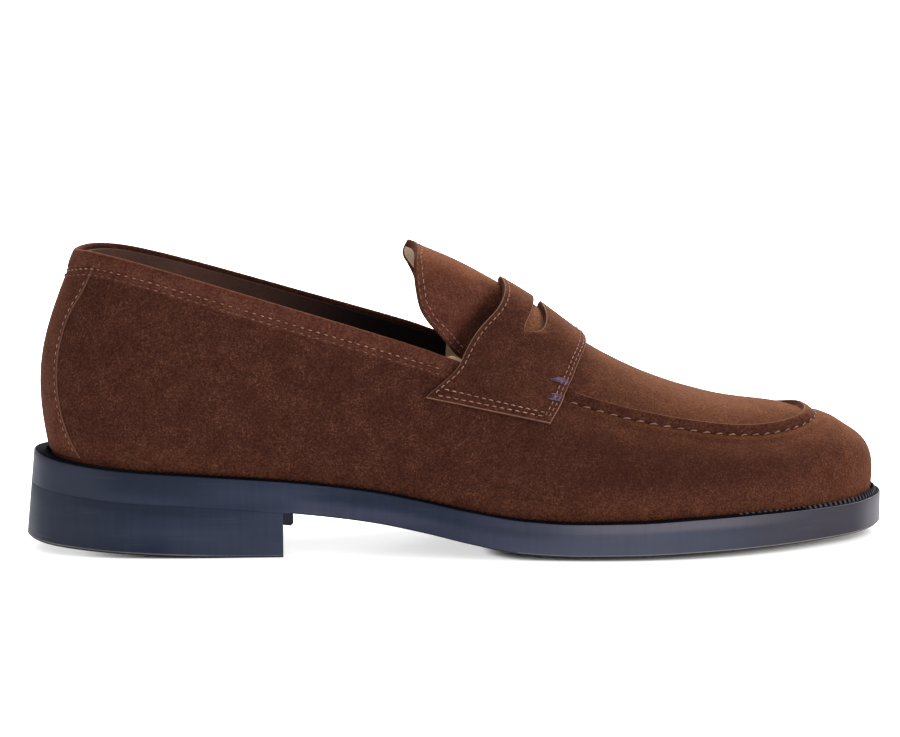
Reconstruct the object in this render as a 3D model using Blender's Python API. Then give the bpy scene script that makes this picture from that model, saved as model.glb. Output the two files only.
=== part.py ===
"""Penny loafer for the right foot: a suede upper on a welted rubber sole with a block heel.

The shoe points along +X, its outer side faces -Y, and it stands empty on the plane z = 0.
Sizes are in millimetres and become metres where a mesh is made.
A place on the shoe is a row number of the LAST table: 0 at the back of the heel, 13 at the toe tip,
negative down the outer side and positive down the inner side.
"""

import bmesh
import bpy
import numpy as np

MM = 0.001
SHOE_LENGTH = 300.0
CENTRE_Y = -1.07
FIT_GAP = 0.3
SHARP_DEGREES = 40.0

# One row for each section of the last, from the back of the heel to the toe tip.
# sole_x, sole_out, sole_in: the sole's edge, as half widths to the outer and the inner side.
# margin: how far the welt stands out past the upper.
# edge_x, edge_out, edge_in, edge_z_out, edge_z_in: the topline, which runs on as the apron seam.
# ridge_x: where the section meets the ridge of the instep.
# lean_out: degrees that the wall leans out at the welt. lean_in: degrees that it leans in at the edge.
LAST_COLUMNS = (
    "sole_x", "sole_out", "sole_in", "margin",
    "edge_x", "edge_out", "edge_in", "edge_z_out", "edge_z_in",
    "ridge_x", "lean_out", "lean_in",
)
LAST = np.array((
    (3.0, 0.0, 0.0, 6.8, 17.5, 0.0, 0.0, 101.8, 101.8, 0.0, 12.0, 22.0),
    (7.5, 17.5, 17.5, 5.6, 21.0, 10.5, 10.5, 102.2, 102.2, 10.0, 12.0, 20.0),
    (18.0, 26.5, 26.5, 4.4, 29.0, 19.0, 19.0, 101.2, 101.4, 26.0, 11.0, 16.0),
    (35.0, 31.8, 32.0, 3.8, 41.0, 25.0, 25.0, 98.0, 98.4, 48.0, 10.0, 12.0),
    (62.0, 34.0, 34.2, 3.6, 64.0, 28.6, 28.6, 91.3, 92.0, 77.0, 9.0, 9.0),
    (92.0, 35.0, 32.3, 3.4, 92.0, 29.5, 29.0, 82.6, 83.8, 108.0, 9.0, 10.0),
    (125.0, 39.5, 31.0, 3.4, 121.0, 28.3, 28.0, 73.4, 75.4, 139.0, 10.0, 20.0),
    (160.0, 47.2, 35.0, 3.6, 152.0, 28.5, 28.5, 62.6, 65.2, 168.5, 10.0, 36.0),
    (195.0, 52.5, 45.3, 3.8, 190.0, 32.0, 31.0, 48.6, 50.6, 200.0, 9.0, 50.0),
    (225.0, 51.8, 50.8, 3.8, 222.0, 32.6, 33.4, 40.8, 42.4, 226.0, 8.0, 54.0),
    (252.0, 44.8, 48.0, 3.7, 246.0, 28.0, 31.5, 37.4, 38.8, 243.0, 8.0, 56.0),
    (275.0, 32.8, 38.3, 3.6, 263.5, 18.5, 24.0, 38.2, 38.8, 252.0, 8.0, 60.0),
    (291.0, 19.5, 26.8, 3.6, 272.5, 8.0, 15.5, 40.4, 40.5, 256.5, 8.0, 63.0),
    (300.0, -4.0, 4.0, 3.6, 274.8, -4.0, 4.0, 41.2, 41.2, 257.0, 8.0, 65.0),
))
TOE_ROW = len(LAST) - 1
THROAT_ROW = 7.25
FAN_START_ROW = 9.0

# Ridge of the instep seen from the side: x, y and z, from behind the tongue's tip to the plug's front.
RIDGE = np.array((
    (100.0, 0.3, 117.5),
    (118.0, 0.5, 109.3),
    (133.0, 1.0, 102.3),
    (150.0, 1.6, 95.2),
    (165.0, 2.2, 86.9),
    (175.0, 2.7, 80.7),
    (185.0, 3.1, 73.3),
    (195.0, 3.5, 65.9),
    (205.0, 4.0, 60.2),
    (217.0, 4.5, 55.1),
    (232.0, 5.0, 50.0),
    (246.0, 5.0, 46.6),
    (258.0, 4.5, 45.2),
))

# Heights of the sole along x: welt top, lower edge of the outsole's side, and tread along the middle.
SOLE = np.array((
    (0.0, 31.9, 19.2, 19.2),
    (30.0, 28.7, 18.3, 18.3),
    (60.0, 26.7, 16.1, 16.1),
    (88.0, 25.1, 13.8, 13.8),
    (105.0, 23.7, 12.2, 11.8),
    (120.0, 21.8, 10.2, 9.4),
    (135.0, 19.2, 7.3, 6.2),
    (150.0, 16.4, 4.2, 2.9),
    (168.0, 13.9, 1.8, 0.0),
    (185.0, 12.9, 1.2, 0.0),
    (250.0, 13.1, 1.2, 0.0),
    (280.0, 13.5, 1.8, 0.6),
    (300.0, 14.2, 3.0, 1.8),
))

WELT_THICK = 3.5
WELT_SEAT = 9.0
BEAD_NEAR = 1.0
BEAD_MID = 1.7
BEAD_FAR = 2.4
BEAD_HIGH = 1.0
TREAD_SPREAD = (0.0, 0.12, 0.31, 0.5, 0.69, 0.88, 1.0)
SOLE_STATIONS = 39

HEEL_BREAST_X = 85.3
HEEL_FLARE = 2.9
HEEL_FLARE_END = 40.0
HEEL_BACK_LIFT = 3.0
HEEL_LIFT_END = 48.0
HEEL_LIFT_POWER = 1.5
HEEL_LIP_HIGH = 3.5
HEEL_LIP_REACH = 4.2
HEEL_ROWS = 15
ROW_SEARCH_STEPS = 650
HEEL_SPREAD = (0.0, 0.25, 0.5, 0.75, 1.0)

WALL = 2.0
RIB_REACH = 0.44
BAND_DEEP = 4.5
BAND_DEEP_BACK = 7.5
BAND_BACK_ROWS = 2.0
BAND_FOOT = 1.15
BAND_STEP = 0.6
BAND_END_ROW = 6.75
SEAM_CREST = 3.2
SEAM_INNER = 4.6
SEAM_HIGH = 2.1
SEAM_START_ROW = 7.84
SEAM_FULL_ROW = 8.0
SIDE_STEP = 0.25
WALL_ROWS = (0.0, 0.1, 0.22, 0.36, 0.5, 0.64, 0.78)
PLUG_ROWS = (0.4, 0.6, 0.8, 1.0)

INSOLE_THICK = 3.0
INSOLE_SPREAD = (0.0, 0.25, 0.5, 0.75, 1.0)

# Saddle strap on one side: height up the rib, then the rows of its back and front edges there.
STRAP = np.array((
    (0.70, 6.47, 7.62),
    (1.00, 6.88, 7.80),
    (1.50, 7.00, 7.80),
    (2.00, 6.90, 7.76),
))
STRAP_DROP = 0.05
STRAP_THICK = 2.0
STRAP_STEPS = 14
STRAP_BACK_STEPS = 4
STRAP_FRONT_STEPS = 4
SLOT_STEPS = 5
SLOT_BACK = 0.34
SLOT_FRONT_MID = 0.49
SLOT_FRONT_END = 0.60

TONGUE_THICK = 2.6
TONGUE_TIP_ROW = 5.80
TONGUE_ROOT_ROW = 7.235
TONGUE_POWER = 1.95
TONGUE_ROUND = 1.1
TONGUE_TIP_WIDTH = 0.12
TONGUE_SIDE_GAP = 0.04
TONGUE_CROWD = 0.7
TONGUE_ROWS = 12
TONGUE_STEPS = 6

# Back strip: height up the rib, and the row that its edge reaches on each side.
BACK_STRIP = np.array((
    (0.03, 1.80),
    (0.20, 1.50),
    (0.50, 1.28),
    (0.80, 1.18),
    (0.885, 1.13),
))
BACK_STRIP_THICK = 1.0
BACK_STRIP_STEPS = 5
BACK_STRIP_ROWS = 9

SUEDE = (0.115, 0.035, 0.012)
SUEDE_STRAP = (0.13, 0.041, 0.014)
RUBBER = (0.018, 0.022, 0.034)
WELT_BLACK = (0.02, 0.019, 0.022)
LINING_TAN = (0.48, 0.27, 0.12)
NAP_ROUGHNESS = 0.95
RUBBER_ROUGHNESS = 0.45
WELT_ROUGHNESS = 0.5
INSOLE_ROUGHNESS = 0.6


def profile(table, column):
    """Curve along a table's first column that never overshoots its rows, so equal rows stay flat."""
    xs, zs = table[:, 0], table[:, column]
    step = np.diff(xs)
    slope = np.diff(zs) / step
    before, after = slope[:-1], slope[1:]
    bends_on = before * after > 0
    safe_before = np.where(bends_on, before, 1.0)
    safe_after = np.where(bends_on, after, 1.0)
    near = 2 * step[1:] + step[:-1]
    far = step[1:] + 2 * step[:-1]
    middle = (near + far) / (near / safe_before + far / safe_after)
    tangent = np.concatenate([slope[:1], np.where(bends_on, middle, 0.0), slope[-1:]])

    def at(x):
        x = np.clip(np.asarray(x, float), xs[0], xs[-1])
        i = np.clip(np.searchsorted(xs, x, side="right") - 1, 0, len(step) - 1)
        f = (x - xs[i]) / step[i]
        rise = zs[i] + (zs[i + 1] - zs[i]) * f * f * (3 - 2 * f)
        turn = tangent[i] * f * (1 - f) ** 2 - tangent[i + 1] * f * f * (1 - f)
        return rise + turn * step[i]

    return at


def closed_curve(outer_side, inner_side):
    """Smooth closed curve through one value per row, round the whole shoe, as a function of place."""
    values = np.concatenate([inner_side, outer_side[-2:0:-1]])
    count = len(values)
    one = np.eye(count)
    system = 4 * one + np.roll(one, 1, 0) + np.roll(one, -1, 0)
    bend = np.linalg.solve(system, np.roll(values, 1) - 2 * values + np.roll(values, -1))

    def at(place):
        place = np.asarray(place, float)
        start = np.floor(place).astype(int)
        f = place - start
        g = 1 - f
        a, b = start % count, (start + 1) % count
        return g * values[a] + f * values[b] + (g**3 - g) * bend[a] + (f**3 - f) * bend[b]

    return at


def last_curve(outer_name, inner_name=None, mirrored=False):
    outer_side = LAST[:, LAST_COLUMNS.index(outer_name)]
    inner_side = LAST[:, LAST_COLUMNS.index(inner_name or outer_name)]
    return closed_curve(-outer_side if mirrored else outer_side, inner_side)


sole_x = last_curve("sole_x")
sole_y = last_curve("sole_out", "sole_in", mirrored=True)
margin = last_curve("margin")
edge_x = last_curve("edge_x")
edge_y = last_curve("edge_out", "edge_in", mirrored=True)
edge_z = last_curve("edge_z_out", "edge_z_in")
ridge_x = last_curve("ridge_x")
lean_out = last_curve("lean_out")
lean_in = last_curve("lean_in")
ridge_y = profile(RIDGE, 1)
ridge_z = profile(RIDGE, 2)
welt_top = profile(SOLE, 1)
side_bottom = profile(SOLE, 2)
tread = profile(SOLE, 3)
strap_back = profile(STRAP, 1)
strap_front = profile(STRAP, 2)
strip_reach = profile(BACK_STRIP, 1)

NUDGE = 1e-4
UP = np.array((0.0, 0.0, 1.0))


def unit(v):
    return v / np.linalg.norm(v, axis=-1, keepdims=True)


def outward(place):
    """Level direction that points out of the sole's edge."""
    dx = sole_x(place + NUDGE) - sole_x(place - NUDGE)
    dy = sole_y(place + NUDGE) - sole_y(place - NUDGE)
    return unit(np.stack([-dy, dx, np.zeros_like(dx)], -1))


def sole_edge(place, inset):
    """Point in plan, inset from the sole's edge, at z = 0."""
    place = np.asarray(place, float)
    edge = np.stack([sole_x(place), sole_y(place), np.zeros_like(place)], -1)
    return edge - outward(place) * np.asarray(inset)[..., None]


def at_height(plan, z):
    return np.concatenate([plan[..., :2], np.asarray(z)[..., None]], -1)


def feather(place):
    """Line where the upper meets the welt."""
    plan = sole_edge(place, margin(place))
    return at_height(plan, welt_top(plan[..., 0]) + FIT_GAP)


def leaning(out, degrees):
    angle = np.radians(degrees)[..., None]
    return out * np.sin(angle) + UP * np.cos(angle)


def bezier(a, b, c, d, f):
    f = f[..., None]
    g = 1 - f
    return a * g**3 + b * 3 * f * g**2 + c * 3 * f**2 * g + d * f**3


def ridge_slope(x):
    dy = (ridge_y(x + NUDGE) - ridge_y(x - NUDGE)) / (2 * NUDGE)
    dz = (ridge_z(x + NUDGE) - ridge_z(x - NUDGE)) / (2 * NUDGE)
    return dy, dz


def ramp(x, start, end):
    f = np.clip((x - start) / (end - start), 0, 1)
    return f * f * (3 - 2 * f)


def last_surface(place, t):
    """Point of the last: t is 0 at the welt, 1 on the topline or apron seam, 2 on the instep's ridge."""
    place, t = np.broadcast_arrays(np.asarray(place, float), np.asarray(t, float))
    out = outward(place)
    foot = feather(place)
    edge = np.stack([edge_x(place), edge_y(place), edge_z(place)], -1)
    x = ridge_x(place)
    ridge = np.stack([x, ridge_y(x), ridge_z(x)], -1)
    leave = leaning(out, lean_out(place))
    close = leaning(out, -lean_in(place))
    low_reach = RIB_REACH * np.linalg.norm(edge - foot, axis=-1, keepdims=True)
    low = bezier(
        foot, foot + leave * low_reach, edge - close * low_reach, edge, np.clip(t, 0, 1)
    )
    dy, dz = ridge_slope(x)
    along = (edge_x(place) - x) * ramp(abs(place), FAN_START_ROW, TOE_ROW)
    across = edge_y(place) - ridge[..., 1]
    level = unit(np.stack([along, across, along * dz], -1))
    high_reach = RIB_REACH * np.linalg.norm(ridge - edge, axis=-1, keepdims=True)
    high = bezier(
        edge, edge + close * high_reach, ridge + level * high_reach, ridge, np.clip(t - 1, 0, 1)
    )
    return np.where((t <= 1)[..., None], low, high)


def skin(place, t, lift=0.0):
    """Point that stands lift above the last, along its normal."""
    place, t = np.broadcast_arrays(np.asarray(place, float), np.asarray(t, float))
    up = last_surface(place, np.clip(t + NUDGE, 0, 2)) - last_surface(place, np.clip(t - NUDGE, 0, 2))
    run = last_surface(place + NUDGE, t) - last_surface(place - NUDGE, t)
    side_normal = np.cross(up, run)
    dy, dz = ridge_slope(ridge_x(place))
    ridge_normal = np.stack([-dz, np.zeros_like(dz), np.ones_like(dz)], -1)
    on_ridge = (t > 2 - NUDGE)[..., None]
    normal = unit(np.where(on_ridge, ridge_normal, side_normal))
    return last_surface(place, t) + normal * np.broadcast_to(lift, t.shape)[..., None]


def band_deep(place):
    """Depth of the collar band below the topline, deeper round the back."""
    return BAND_DEEP_BACK + (BAND_DEEP - BAND_DEEP_BACK) * ramp(abs(place), 0, BAND_BACK_ROWS)


def rib_speed(place, low):
    """Millimetres for each unit of t, close to the edge."""
    here = last_surface(place, 1.0)
    other = last_surface(place, 1 - NUDGE if low else 1 + NUDGE)
    return np.linalg.norm(here - other) / NUDGE


class Solid:
    """Closed solid between two matching skins of points, with a wall along every free edge."""

    def __init__(self):
        self.index = {}
        self.outer = []
        self.inner = []
        self.quads = []

    def add(self, key, outer, inner):
        if key not in self.index:
            self.index[key] = len(self.outer)
            self.outer.append(outer)
            self.inner.append(inner)
        return self.index[key]

    def add_grid(self, outer, inner, key_of=lambda j, k: (j, k), is_hole=lambda j, k: False):
        """Adds a grid of points, rows by columns, and the quads of its cells."""
        rows, columns = outer.shape[:2]
        ids = [
            [self.add(key_of(j, k), outer[j, k], inner[j, k]) for k in range(columns)]
            for j in range(rows)
        ]
        for j in range(rows - 1):
            for k in range(columns - 1):
                if not is_hole(j, k):
                    self.quads.append((ids[j][k], ids[j][k + 1], ids[j + 1][k + 1], ids[j + 1][k]))

    def faces(self):
        count = len(self.outer)
        faces = []
        edges = {}
        for quad in self.quads:
            ring = tuple(dict.fromkeys(quad))
            if len(ring) > 2:
                faces.append(ring)
                faces.append(tuple(i + count for i in reversed(ring)))
                edges.update(dict.fromkeys(zip(ring, ring[1:] + ring[:1])))
        free = [(a, b) for a, b in edges if (b, a) not in edges]
        return faces + [(b, a, a + count, b + count) for a, b in free]

    def make(self, name, material):
        """Makes the solid as an object of the scene, without points that no face uses."""
        points = np.array(self.outer + self.inner) - (SHOE_LENGTH / 2, CENTRE_Y, 0.0)
        mesh = bpy.data.meshes.new(name)
        mesh.from_pydata((points * MM).tolist(), [], self.faces())
        work = bmesh.new()
        work.from_mesh(mesh)
        bmesh.ops.delete(work, geom=[v for v in work.verts if not v.link_faces], context="VERTS")
        bmesh.ops.recalc_face_normals(work, faces=work.faces)
        bmesh.ops.triangulate(work, faces=work.faces, quad_method="SHORT_EDGE")
        work.to_mesh(mesh)
        work.free()
        mesh.shade_smooth()
        mesh.set_sharp_from_angle(angle=np.radians(SHARP_DEGREES))
        mesh.materials.append(material)
        made = bpy.data.objects.new(name, mesh)
        bpy.context.scene.collection.objects.link(made)
        return made


def make_material(name, colour, roughness):
    material = bpy.data.materials.new(name)
    material.use_nodes = True
    shader = material.node_tree.nodes["Principled BSDF"]
    shader.inputs["Base Color"].default_value = (*colour, 1.0)
    shader.inputs["Roughness"].default_value = roughness
    shader.inputs["Metallic"].default_value = 0.0
    return material


def across_foot(rows, inset, spread):
    """Plan points across the foot at each row, from its outer edge to its inner edge."""
    outer_side = sole_edge(-rows, inset)[:, None, :]
    inner_side = sole_edge(rows, inset)[:, None, :]
    return outer_side + (inner_side - outer_side) * np.asarray(spread)[None, :, None]


def pointed_ends(last_row):
    """Grid key for a layer whose first row, and whose last row if named, is a single point."""
    return lambda j, k: (j, 0 if j in (0, last_row) else k)


def make_outsole(material):
    rows = np.linspace(0, TOE_ROW, SOLE_STATIONS + 1)
    spread = np.array(TREAD_SPREAD)
    plan = across_foot(rows, np.zeros_like(rows), spread)
    x = plan[..., 0]
    is_edge = (spread == 0) | (spread == 1)
    at_end = (rows == 0) | (rows == TOE_ROW)
    lowest = np.where(is_edge[None, :] | at_end[:, None], side_bottom(x), tread(x))
    solid = Solid()
    solid.add_grid(
        at_height(plan, welt_top(x) - WELT_THICK - FIT_GAP),
        at_height(plan, lowest),
        pointed_ends(SOLE_STATIONS),
    )
    return solid.make("outsole", material)


def make_welt(material):
    places = np.linspace(-TOE_ROW, TOE_ROW, 2 * SOLE_STATIONS + 1)
    to_upper = margin(places)
    steps = (
        (np.zeros_like(places), 0.0),
        (to_upper - BEAD_FAR, 0.0),
        (to_upper - BEAD_MID, BEAD_HIGH),
        (to_upper - BEAD_NEAR, 0.0),
        (to_upper + WELT_SEAT, 0.0),
    )
    plan = np.stack([sole_edge(places, inset) for inset, _ in steps], 1)
    raised = np.array([high for _, high in steps])
    top = welt_top(plan[..., 0])
    solid = Solid()
    solid.add_grid(
        at_height(plan, top + raised),
        at_height(plan, top - WELT_THICK),
        lambda j, k: (j % (2 * SOLE_STATIONS), k),
    )
    return solid.make("welt", material)


def row_at_x(x):
    """Row whose sole edge lies at this x."""
    rows = np.linspace(0, TOE_ROW, ROW_SEARCH_STEPS + 1)
    return np.interp(x, sole_x(rows), rows)


def make_heel(material):
    rows = np.linspace(0, row_at_x(HEEL_BREAST_X), HEEL_ROWS)
    plan = across_foot(rows, np.zeros_like(rows), HEEL_SPREAD)
    x = plan[..., 0]
    top = at_height(plan, side_bottom(x) - FIT_GAP)
    foot = plan.copy()
    foot[..., 0] -= HEEL_FLARE * np.clip(1 - x / HEEL_FLARE_END, 0, 1)
    foot[..., 2] = HEEL_BACK_LIFT * np.clip(1 - x / HEEL_LIFT_END, 0, 1) ** HEEL_LIFT_POWER
    lip_top = []
    lip_foot = []
    for reach in (FIT_GAP, HEEL_LIP_REACH):
        ahead = plan[-1] + (reach, 0.0, 0.0)
        under = side_bottom(ahead[:, 0]) - FIT_GAP
        lip_top.append(at_height(ahead, under))
        lip_foot.append(at_height(ahead, under - HEEL_LIP_HIGH))
    solid = Solid()
    solid.add_grid(
        np.concatenate([top, lip_top]), np.concatenate([foot, lip_foot]), pointed_ends(None)
    )
    return solid.make("heel", material)


def make_insole(material):
    rows = np.linspace(0, TOE_ROW, SOLE_STATIONS + 1)
    plan = across_foot(rows, margin(rows) + WALL + 2 * FIT_GAP, INSOLE_SPREAD)
    under = welt_top(plan[..., 0]) + FIT_GAP
    solid = Solid()
    solid.add_grid(
        at_height(plan, under + INSOLE_THICK), at_height(plan, under), pointed_ends(SOLE_STATIONS)
    )
    return solid.make("insole", material)


def rib_rows(place):
    """Heights t and lifts of the upper's wall along one rib, from the welt to the edge and to the ridge."""
    band = band_deep(place) / rib_speed(place, low=True)
    seam = 1 / rib_speed(place, low=False)
    high = SEAM_HIGH * ramp(abs(place), SEAM_START_ROW, SEAM_FULL_ROW)
    step = BAND_STEP * (1 - ramp(abs(place), BAND_END_ROW - SIDE_STEP, BAND_END_ROW))
    crest, inner = 1 + SEAM_CREST * seam, 1 + SEAM_INNER * seam
    low = [(t, 0.0) for t in WALL_ROWS]
    low += [(1 - BAND_FOOT * band, 0.0), (1 - band, step), (1.0, step)]
    high_part = [(crest, high), (inner, 0.0)]
    high_part += [(inner + (2 - inner) * f, 0.0) for f in PLUG_ROWS]
    return low, high_part


def make_upper(material):
    side_rows = np.sort(np.append(np.arange(0, TOE_ROW + SIDE_STEP / 2, SIDE_STEP), SEAM_START_ROW))
    throat = int(np.flatnonzero(side_rows == THROAT_ROW)[0])
    toe = len(side_rows) - 1
    places = np.concatenate([-side_rows[:0:-1], side_rows])
    ribs = [rib_rows(place) for place in places]
    edge_step = len(ribs[0][0]) - 1
    ridge_step = edge_step + len(ribs[0][1])
    solid = Solid()

    def add_block(columns, first_step, last_step):
        """Adds the wall over these columns, between two steps up the ribs."""
        chosen = np.array([places[c + toe] for c in columns])[:, None]
        whole = [ribs[c + toe][0] + ribs[c + toe][1] for c in columns]
        steps = np.array([rib[first_step : last_step + 1] for rib in whole])

        def key_of(j, k):
            shared = abs(columns[j]) == toe or k + first_step == ridge_step
            return (abs(columns[j]) if shared else columns[j], k + first_step)

        t, lift = steps[..., 0], steps[..., 1]
        solid.add_grid(skin(chosen, t, lift), skin(chosen, t, -WALL), key_of)

    add_block(range(-toe, toe + 1), 0, edge_step)
    add_block(range(-toe, -throat + 1), edge_step, ridge_step)
    add_block(range(throat, toe + 1), edge_step, ridge_step)
    return solid.make("upper", material)


def mirrored_span(steps):
    """Values from -1 on the outer side through 0 on the ridge to 1 on the inner side."""
    return np.linspace(-1, 1, 2 * steps + 1)


def side_of(v):
    return np.where(v < 0, -1.0, 1.0)


def make_strap(material):
    v = mirrored_span(STRAP_STEPS)[:, None]
    slot_part = np.clip(abs(v) * STRAP_STEPS / SLOT_STEPS, 0, 1)
    slot_front = SLOT_FRONT_MID + (SLOT_FRONT_END - SLOT_FRONT_MID) * slot_part**2
    behind = np.broadcast_to(np.linspace(0, SLOT_BACK, STRAP_BACK_STEPS), (len(v), STRAP_BACK_STEPS))
    ahead = slot_front + (1 - slot_front) * np.linspace(0, 1, STRAP_FRONT_STEPS)
    across = np.concatenate([behind, ahead], 1)
    lowest = STRAP[0, 0] + STRAP_DROP * across
    t = 2 - abs(v) * (2 - lowest)
    place = side_of(v) * (strap_back(t) + (strap_front(t) - strap_back(t)) * across)
    solid = Solid()
    solid.add_grid(
        skin(place, t, FIT_GAP + STRAP_THICK),
        skin(place, t, FIT_GAP),
        is_hole=lambda j, k: k == STRAP_BACK_STEPS - 1 and abs(j + 0.5 - STRAP_STEPS) < SLOT_STEPS,
    )
    return solid.make("strap", material)


def make_tongue(material):
    v = mirrored_span(TONGUE_STEPS)[None, :]
    back = np.linspace(1, 0, TONGUE_ROWS)[:, None] ** TONGUE_CROWD
    width = np.clip(1 - back**TONGUE_POWER, 0, 1) ** (1 / TONGUE_ROUND)
    width = TONGUE_TIP_WIDTH + (1 - TONGUE_SIDE_GAP - TONGUE_TIP_WIDTH) * width
    row = TONGUE_ROOT_ROW + (TONGUE_TIP_ROW - TONGUE_ROOT_ROW) * back
    place = side_of(v) * row
    t = 2 - abs(v) * width
    solid = Solid()
    solid.add_grid(skin(place, t), skin(place, t, -TONGUE_THICK))
    return solid.make("tongue", material)


def make_back_strip(material):
    t = np.linspace(BACK_STRIP[0, 0], BACK_STRIP[-1, 0], BACK_STRIP_ROWS)[:, None]
    place = strip_reach(t) * mirrored_span(BACK_STRIP_STEPS)[None, :]
    solid = Solid()
    solid.add_grid(skin(place, t, FIT_GAP + BACK_STRIP_THICK), skin(place, t, FIT_GAP))
    return solid.make("back_strip", material)


def clear_scene():
    for old in list(bpy.data.objects):
        bpy.data.objects.remove(old, do_unlink=True)
    for old in list(bpy.data.meshes):
        bpy.data.meshes.remove(old)


def main():
    clear_scene()
    suede = make_material("suede", SUEDE, NAP_ROUGHNESS)
    strap_suede = make_material("suede_overlay", SUEDE_STRAP, NAP_ROUGHNESS)
    rubber = make_material("sole_rubber", RUBBER, RUBBER_ROUGHNESS)
    welt_leather = make_material("welt_leather", WELT_BLACK, WELT_ROUGHNESS)
    insole_leather = make_material("insole_leather", LINING_TAN, INSOLE_ROUGHNESS)
    make_outsole(rubber)
    make_welt(welt_leather)
    make_heel(rubber)
    make_insole(insole_leather)
    make_upper(suede)
    make_tongue(suede)
    make_strap(strap_suede)
    make_back_strip(strap_suede)


main()
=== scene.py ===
"""Penny loafer for the right foot, dressed in suede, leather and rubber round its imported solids.

The shoe points along +X, its outer side faces -Y, and it stands empty on the plane z = 0.
Sizes are in millimetres and become metres where a mesh is made.
A place on the shoe is a row number of the LAST table: 0 at the back of the heel, 13 at the toe tip,
negative down the outer side and positive down the inner side.
"""

import bmesh
import bpy
import numpy as np
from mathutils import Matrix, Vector
from mathutils.bvhtree import BVHTree


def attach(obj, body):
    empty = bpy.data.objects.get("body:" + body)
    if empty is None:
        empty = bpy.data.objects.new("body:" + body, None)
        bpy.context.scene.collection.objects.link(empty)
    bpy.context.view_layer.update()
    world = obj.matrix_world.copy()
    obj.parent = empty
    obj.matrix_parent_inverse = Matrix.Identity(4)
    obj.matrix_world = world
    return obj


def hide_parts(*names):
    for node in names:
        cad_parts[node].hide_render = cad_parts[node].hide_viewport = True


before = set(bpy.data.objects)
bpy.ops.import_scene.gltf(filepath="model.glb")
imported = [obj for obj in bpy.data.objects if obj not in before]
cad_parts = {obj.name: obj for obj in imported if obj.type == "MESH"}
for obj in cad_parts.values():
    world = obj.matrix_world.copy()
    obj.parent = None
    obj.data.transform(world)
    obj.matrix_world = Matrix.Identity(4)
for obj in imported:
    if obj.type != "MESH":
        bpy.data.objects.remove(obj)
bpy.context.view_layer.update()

MM = 0.001
SHOE_LENGTH = 300.0
CENTRE_Y = -1.07
FIT_GAP = 0.3
rng = np.random.default_rng(7)

# One row for each section of the last, from the back of the heel to the toe tip.
# sole_x, sole_out, sole_in: the sole's edge, as half widths to the outer and the inner side.
# margin: how far the welt stands out past the upper.
# edge_x, edge_out, edge_in, edge_z_out, edge_z_in: the topline, which runs on as the apron seam.
# ridge_x: where the section meets the ridge of the instep.
# lean_out: degrees that the wall leans out at the welt. lean_in: degrees that it leans in at the edge.
LAST_COLUMNS = (
    "sole_x", "sole_out", "sole_in", "margin",
    "edge_x", "edge_out", "edge_in", "edge_z_out", "edge_z_in",
    "ridge_x", "lean_out", "lean_in",
)
LAST = np.array((
    (3.0, 0.0, 0.0, 5.9, 18.9, 0.0, 0.0, 102.1, 102.1, 0.0, 12.0, 22.0),
    (7.5, 17.5, 17.5, 5.1, 22.0, 10.5, 10.5, 102.5, 102.5, 10.0, 12.0, 20.0),
    (18.0, 26.5, 26.5, 4.4, 29.0, 19.0, 19.0, 101.8, 102.0, 26.0, 11.0, 16.0),
    (35.0, 31.8, 32.0, 3.8, 41.0, 25.0, 25.0, 99.1, 99.5, 48.0, 10.0, 12.0),
    (62.0, 34.0, 34.2, 3.6, 64.0, 28.6, 28.6, 92.4, 93.1, 77.0, 9.0, 9.0),
    (92.0, 35.0, 32.3, 3.4, 92.0, 29.5, 29.0, 83.7, 84.9, 108.0, 9.0, 10.0),
    (125.0, 39.5, 31.0, 3.4, 121.0, 28.3, 28.0, 74.5, 76.5, 139.0, 10.0, 20.0),
    (160.0, 47.2, 35.0, 3.6, 152.0, 28.5, 28.5, 63.7, 66.3, 168.5, 10.0, 36.0),
    (195.0, 52.5, 45.3, 3.8, 190.0, 32.0, 31.0, 49.7, 51.7, 200.0, 9.0, 50.0),
    (225.0, 51.8, 50.8, 3.8, 222.0, 32.6, 33.4, 41.9, 43.5, 226.0, 8.0, 54.0),
    (252.0, 44.8, 48.0, 3.7, 246.0, 28.0, 31.5, 38.5, 39.9, 243.0, 8.0, 56.0),
    (275.0, 32.8, 38.3, 3.6, 263.5, 18.5, 24.0, 38.8, 39.4, 252.0, 8.0, 60.0),
    (291.0, 19.5, 26.8, 3.6, 272.5, 8.0, 15.5, 40.6, 40.7, 256.5, 8.0, 68.0),
    (300.0, -4.0, 4.0, 3.6, 274.8, -4.0, 4.0, 41.3, 41.3, 257.0, 8.0, 72.0),
))
TOE_ROW = len(LAST) - 1
THROAT_ROW = 7.25
FAN_START_ROW = 9.0

# Ridge of the instep seen from the side: x, y and z, from behind the tongue's tip to the plug's front.
RIDGE = np.array((
    (100.0, 0.3, 119.5),
    (118.0, 0.5, 111.2),
    (133.0, 1.0, 103.8),
    (150.0, 1.6, 96.3),
    (165.0, 2.2, 88.0),
    (175.0, 2.7, 81.8),
    (185.0, 3.1, 74.4),
    (195.0, 3.5, 67.0),
    (205.0, 4.0, 61.3),
    (217.0, 4.5, 55.7),
    (232.0, 5.0, 50.3),
    (246.0, 5.0, 46.8),
    (258.0, 4.5, 45.6),
))

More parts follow.
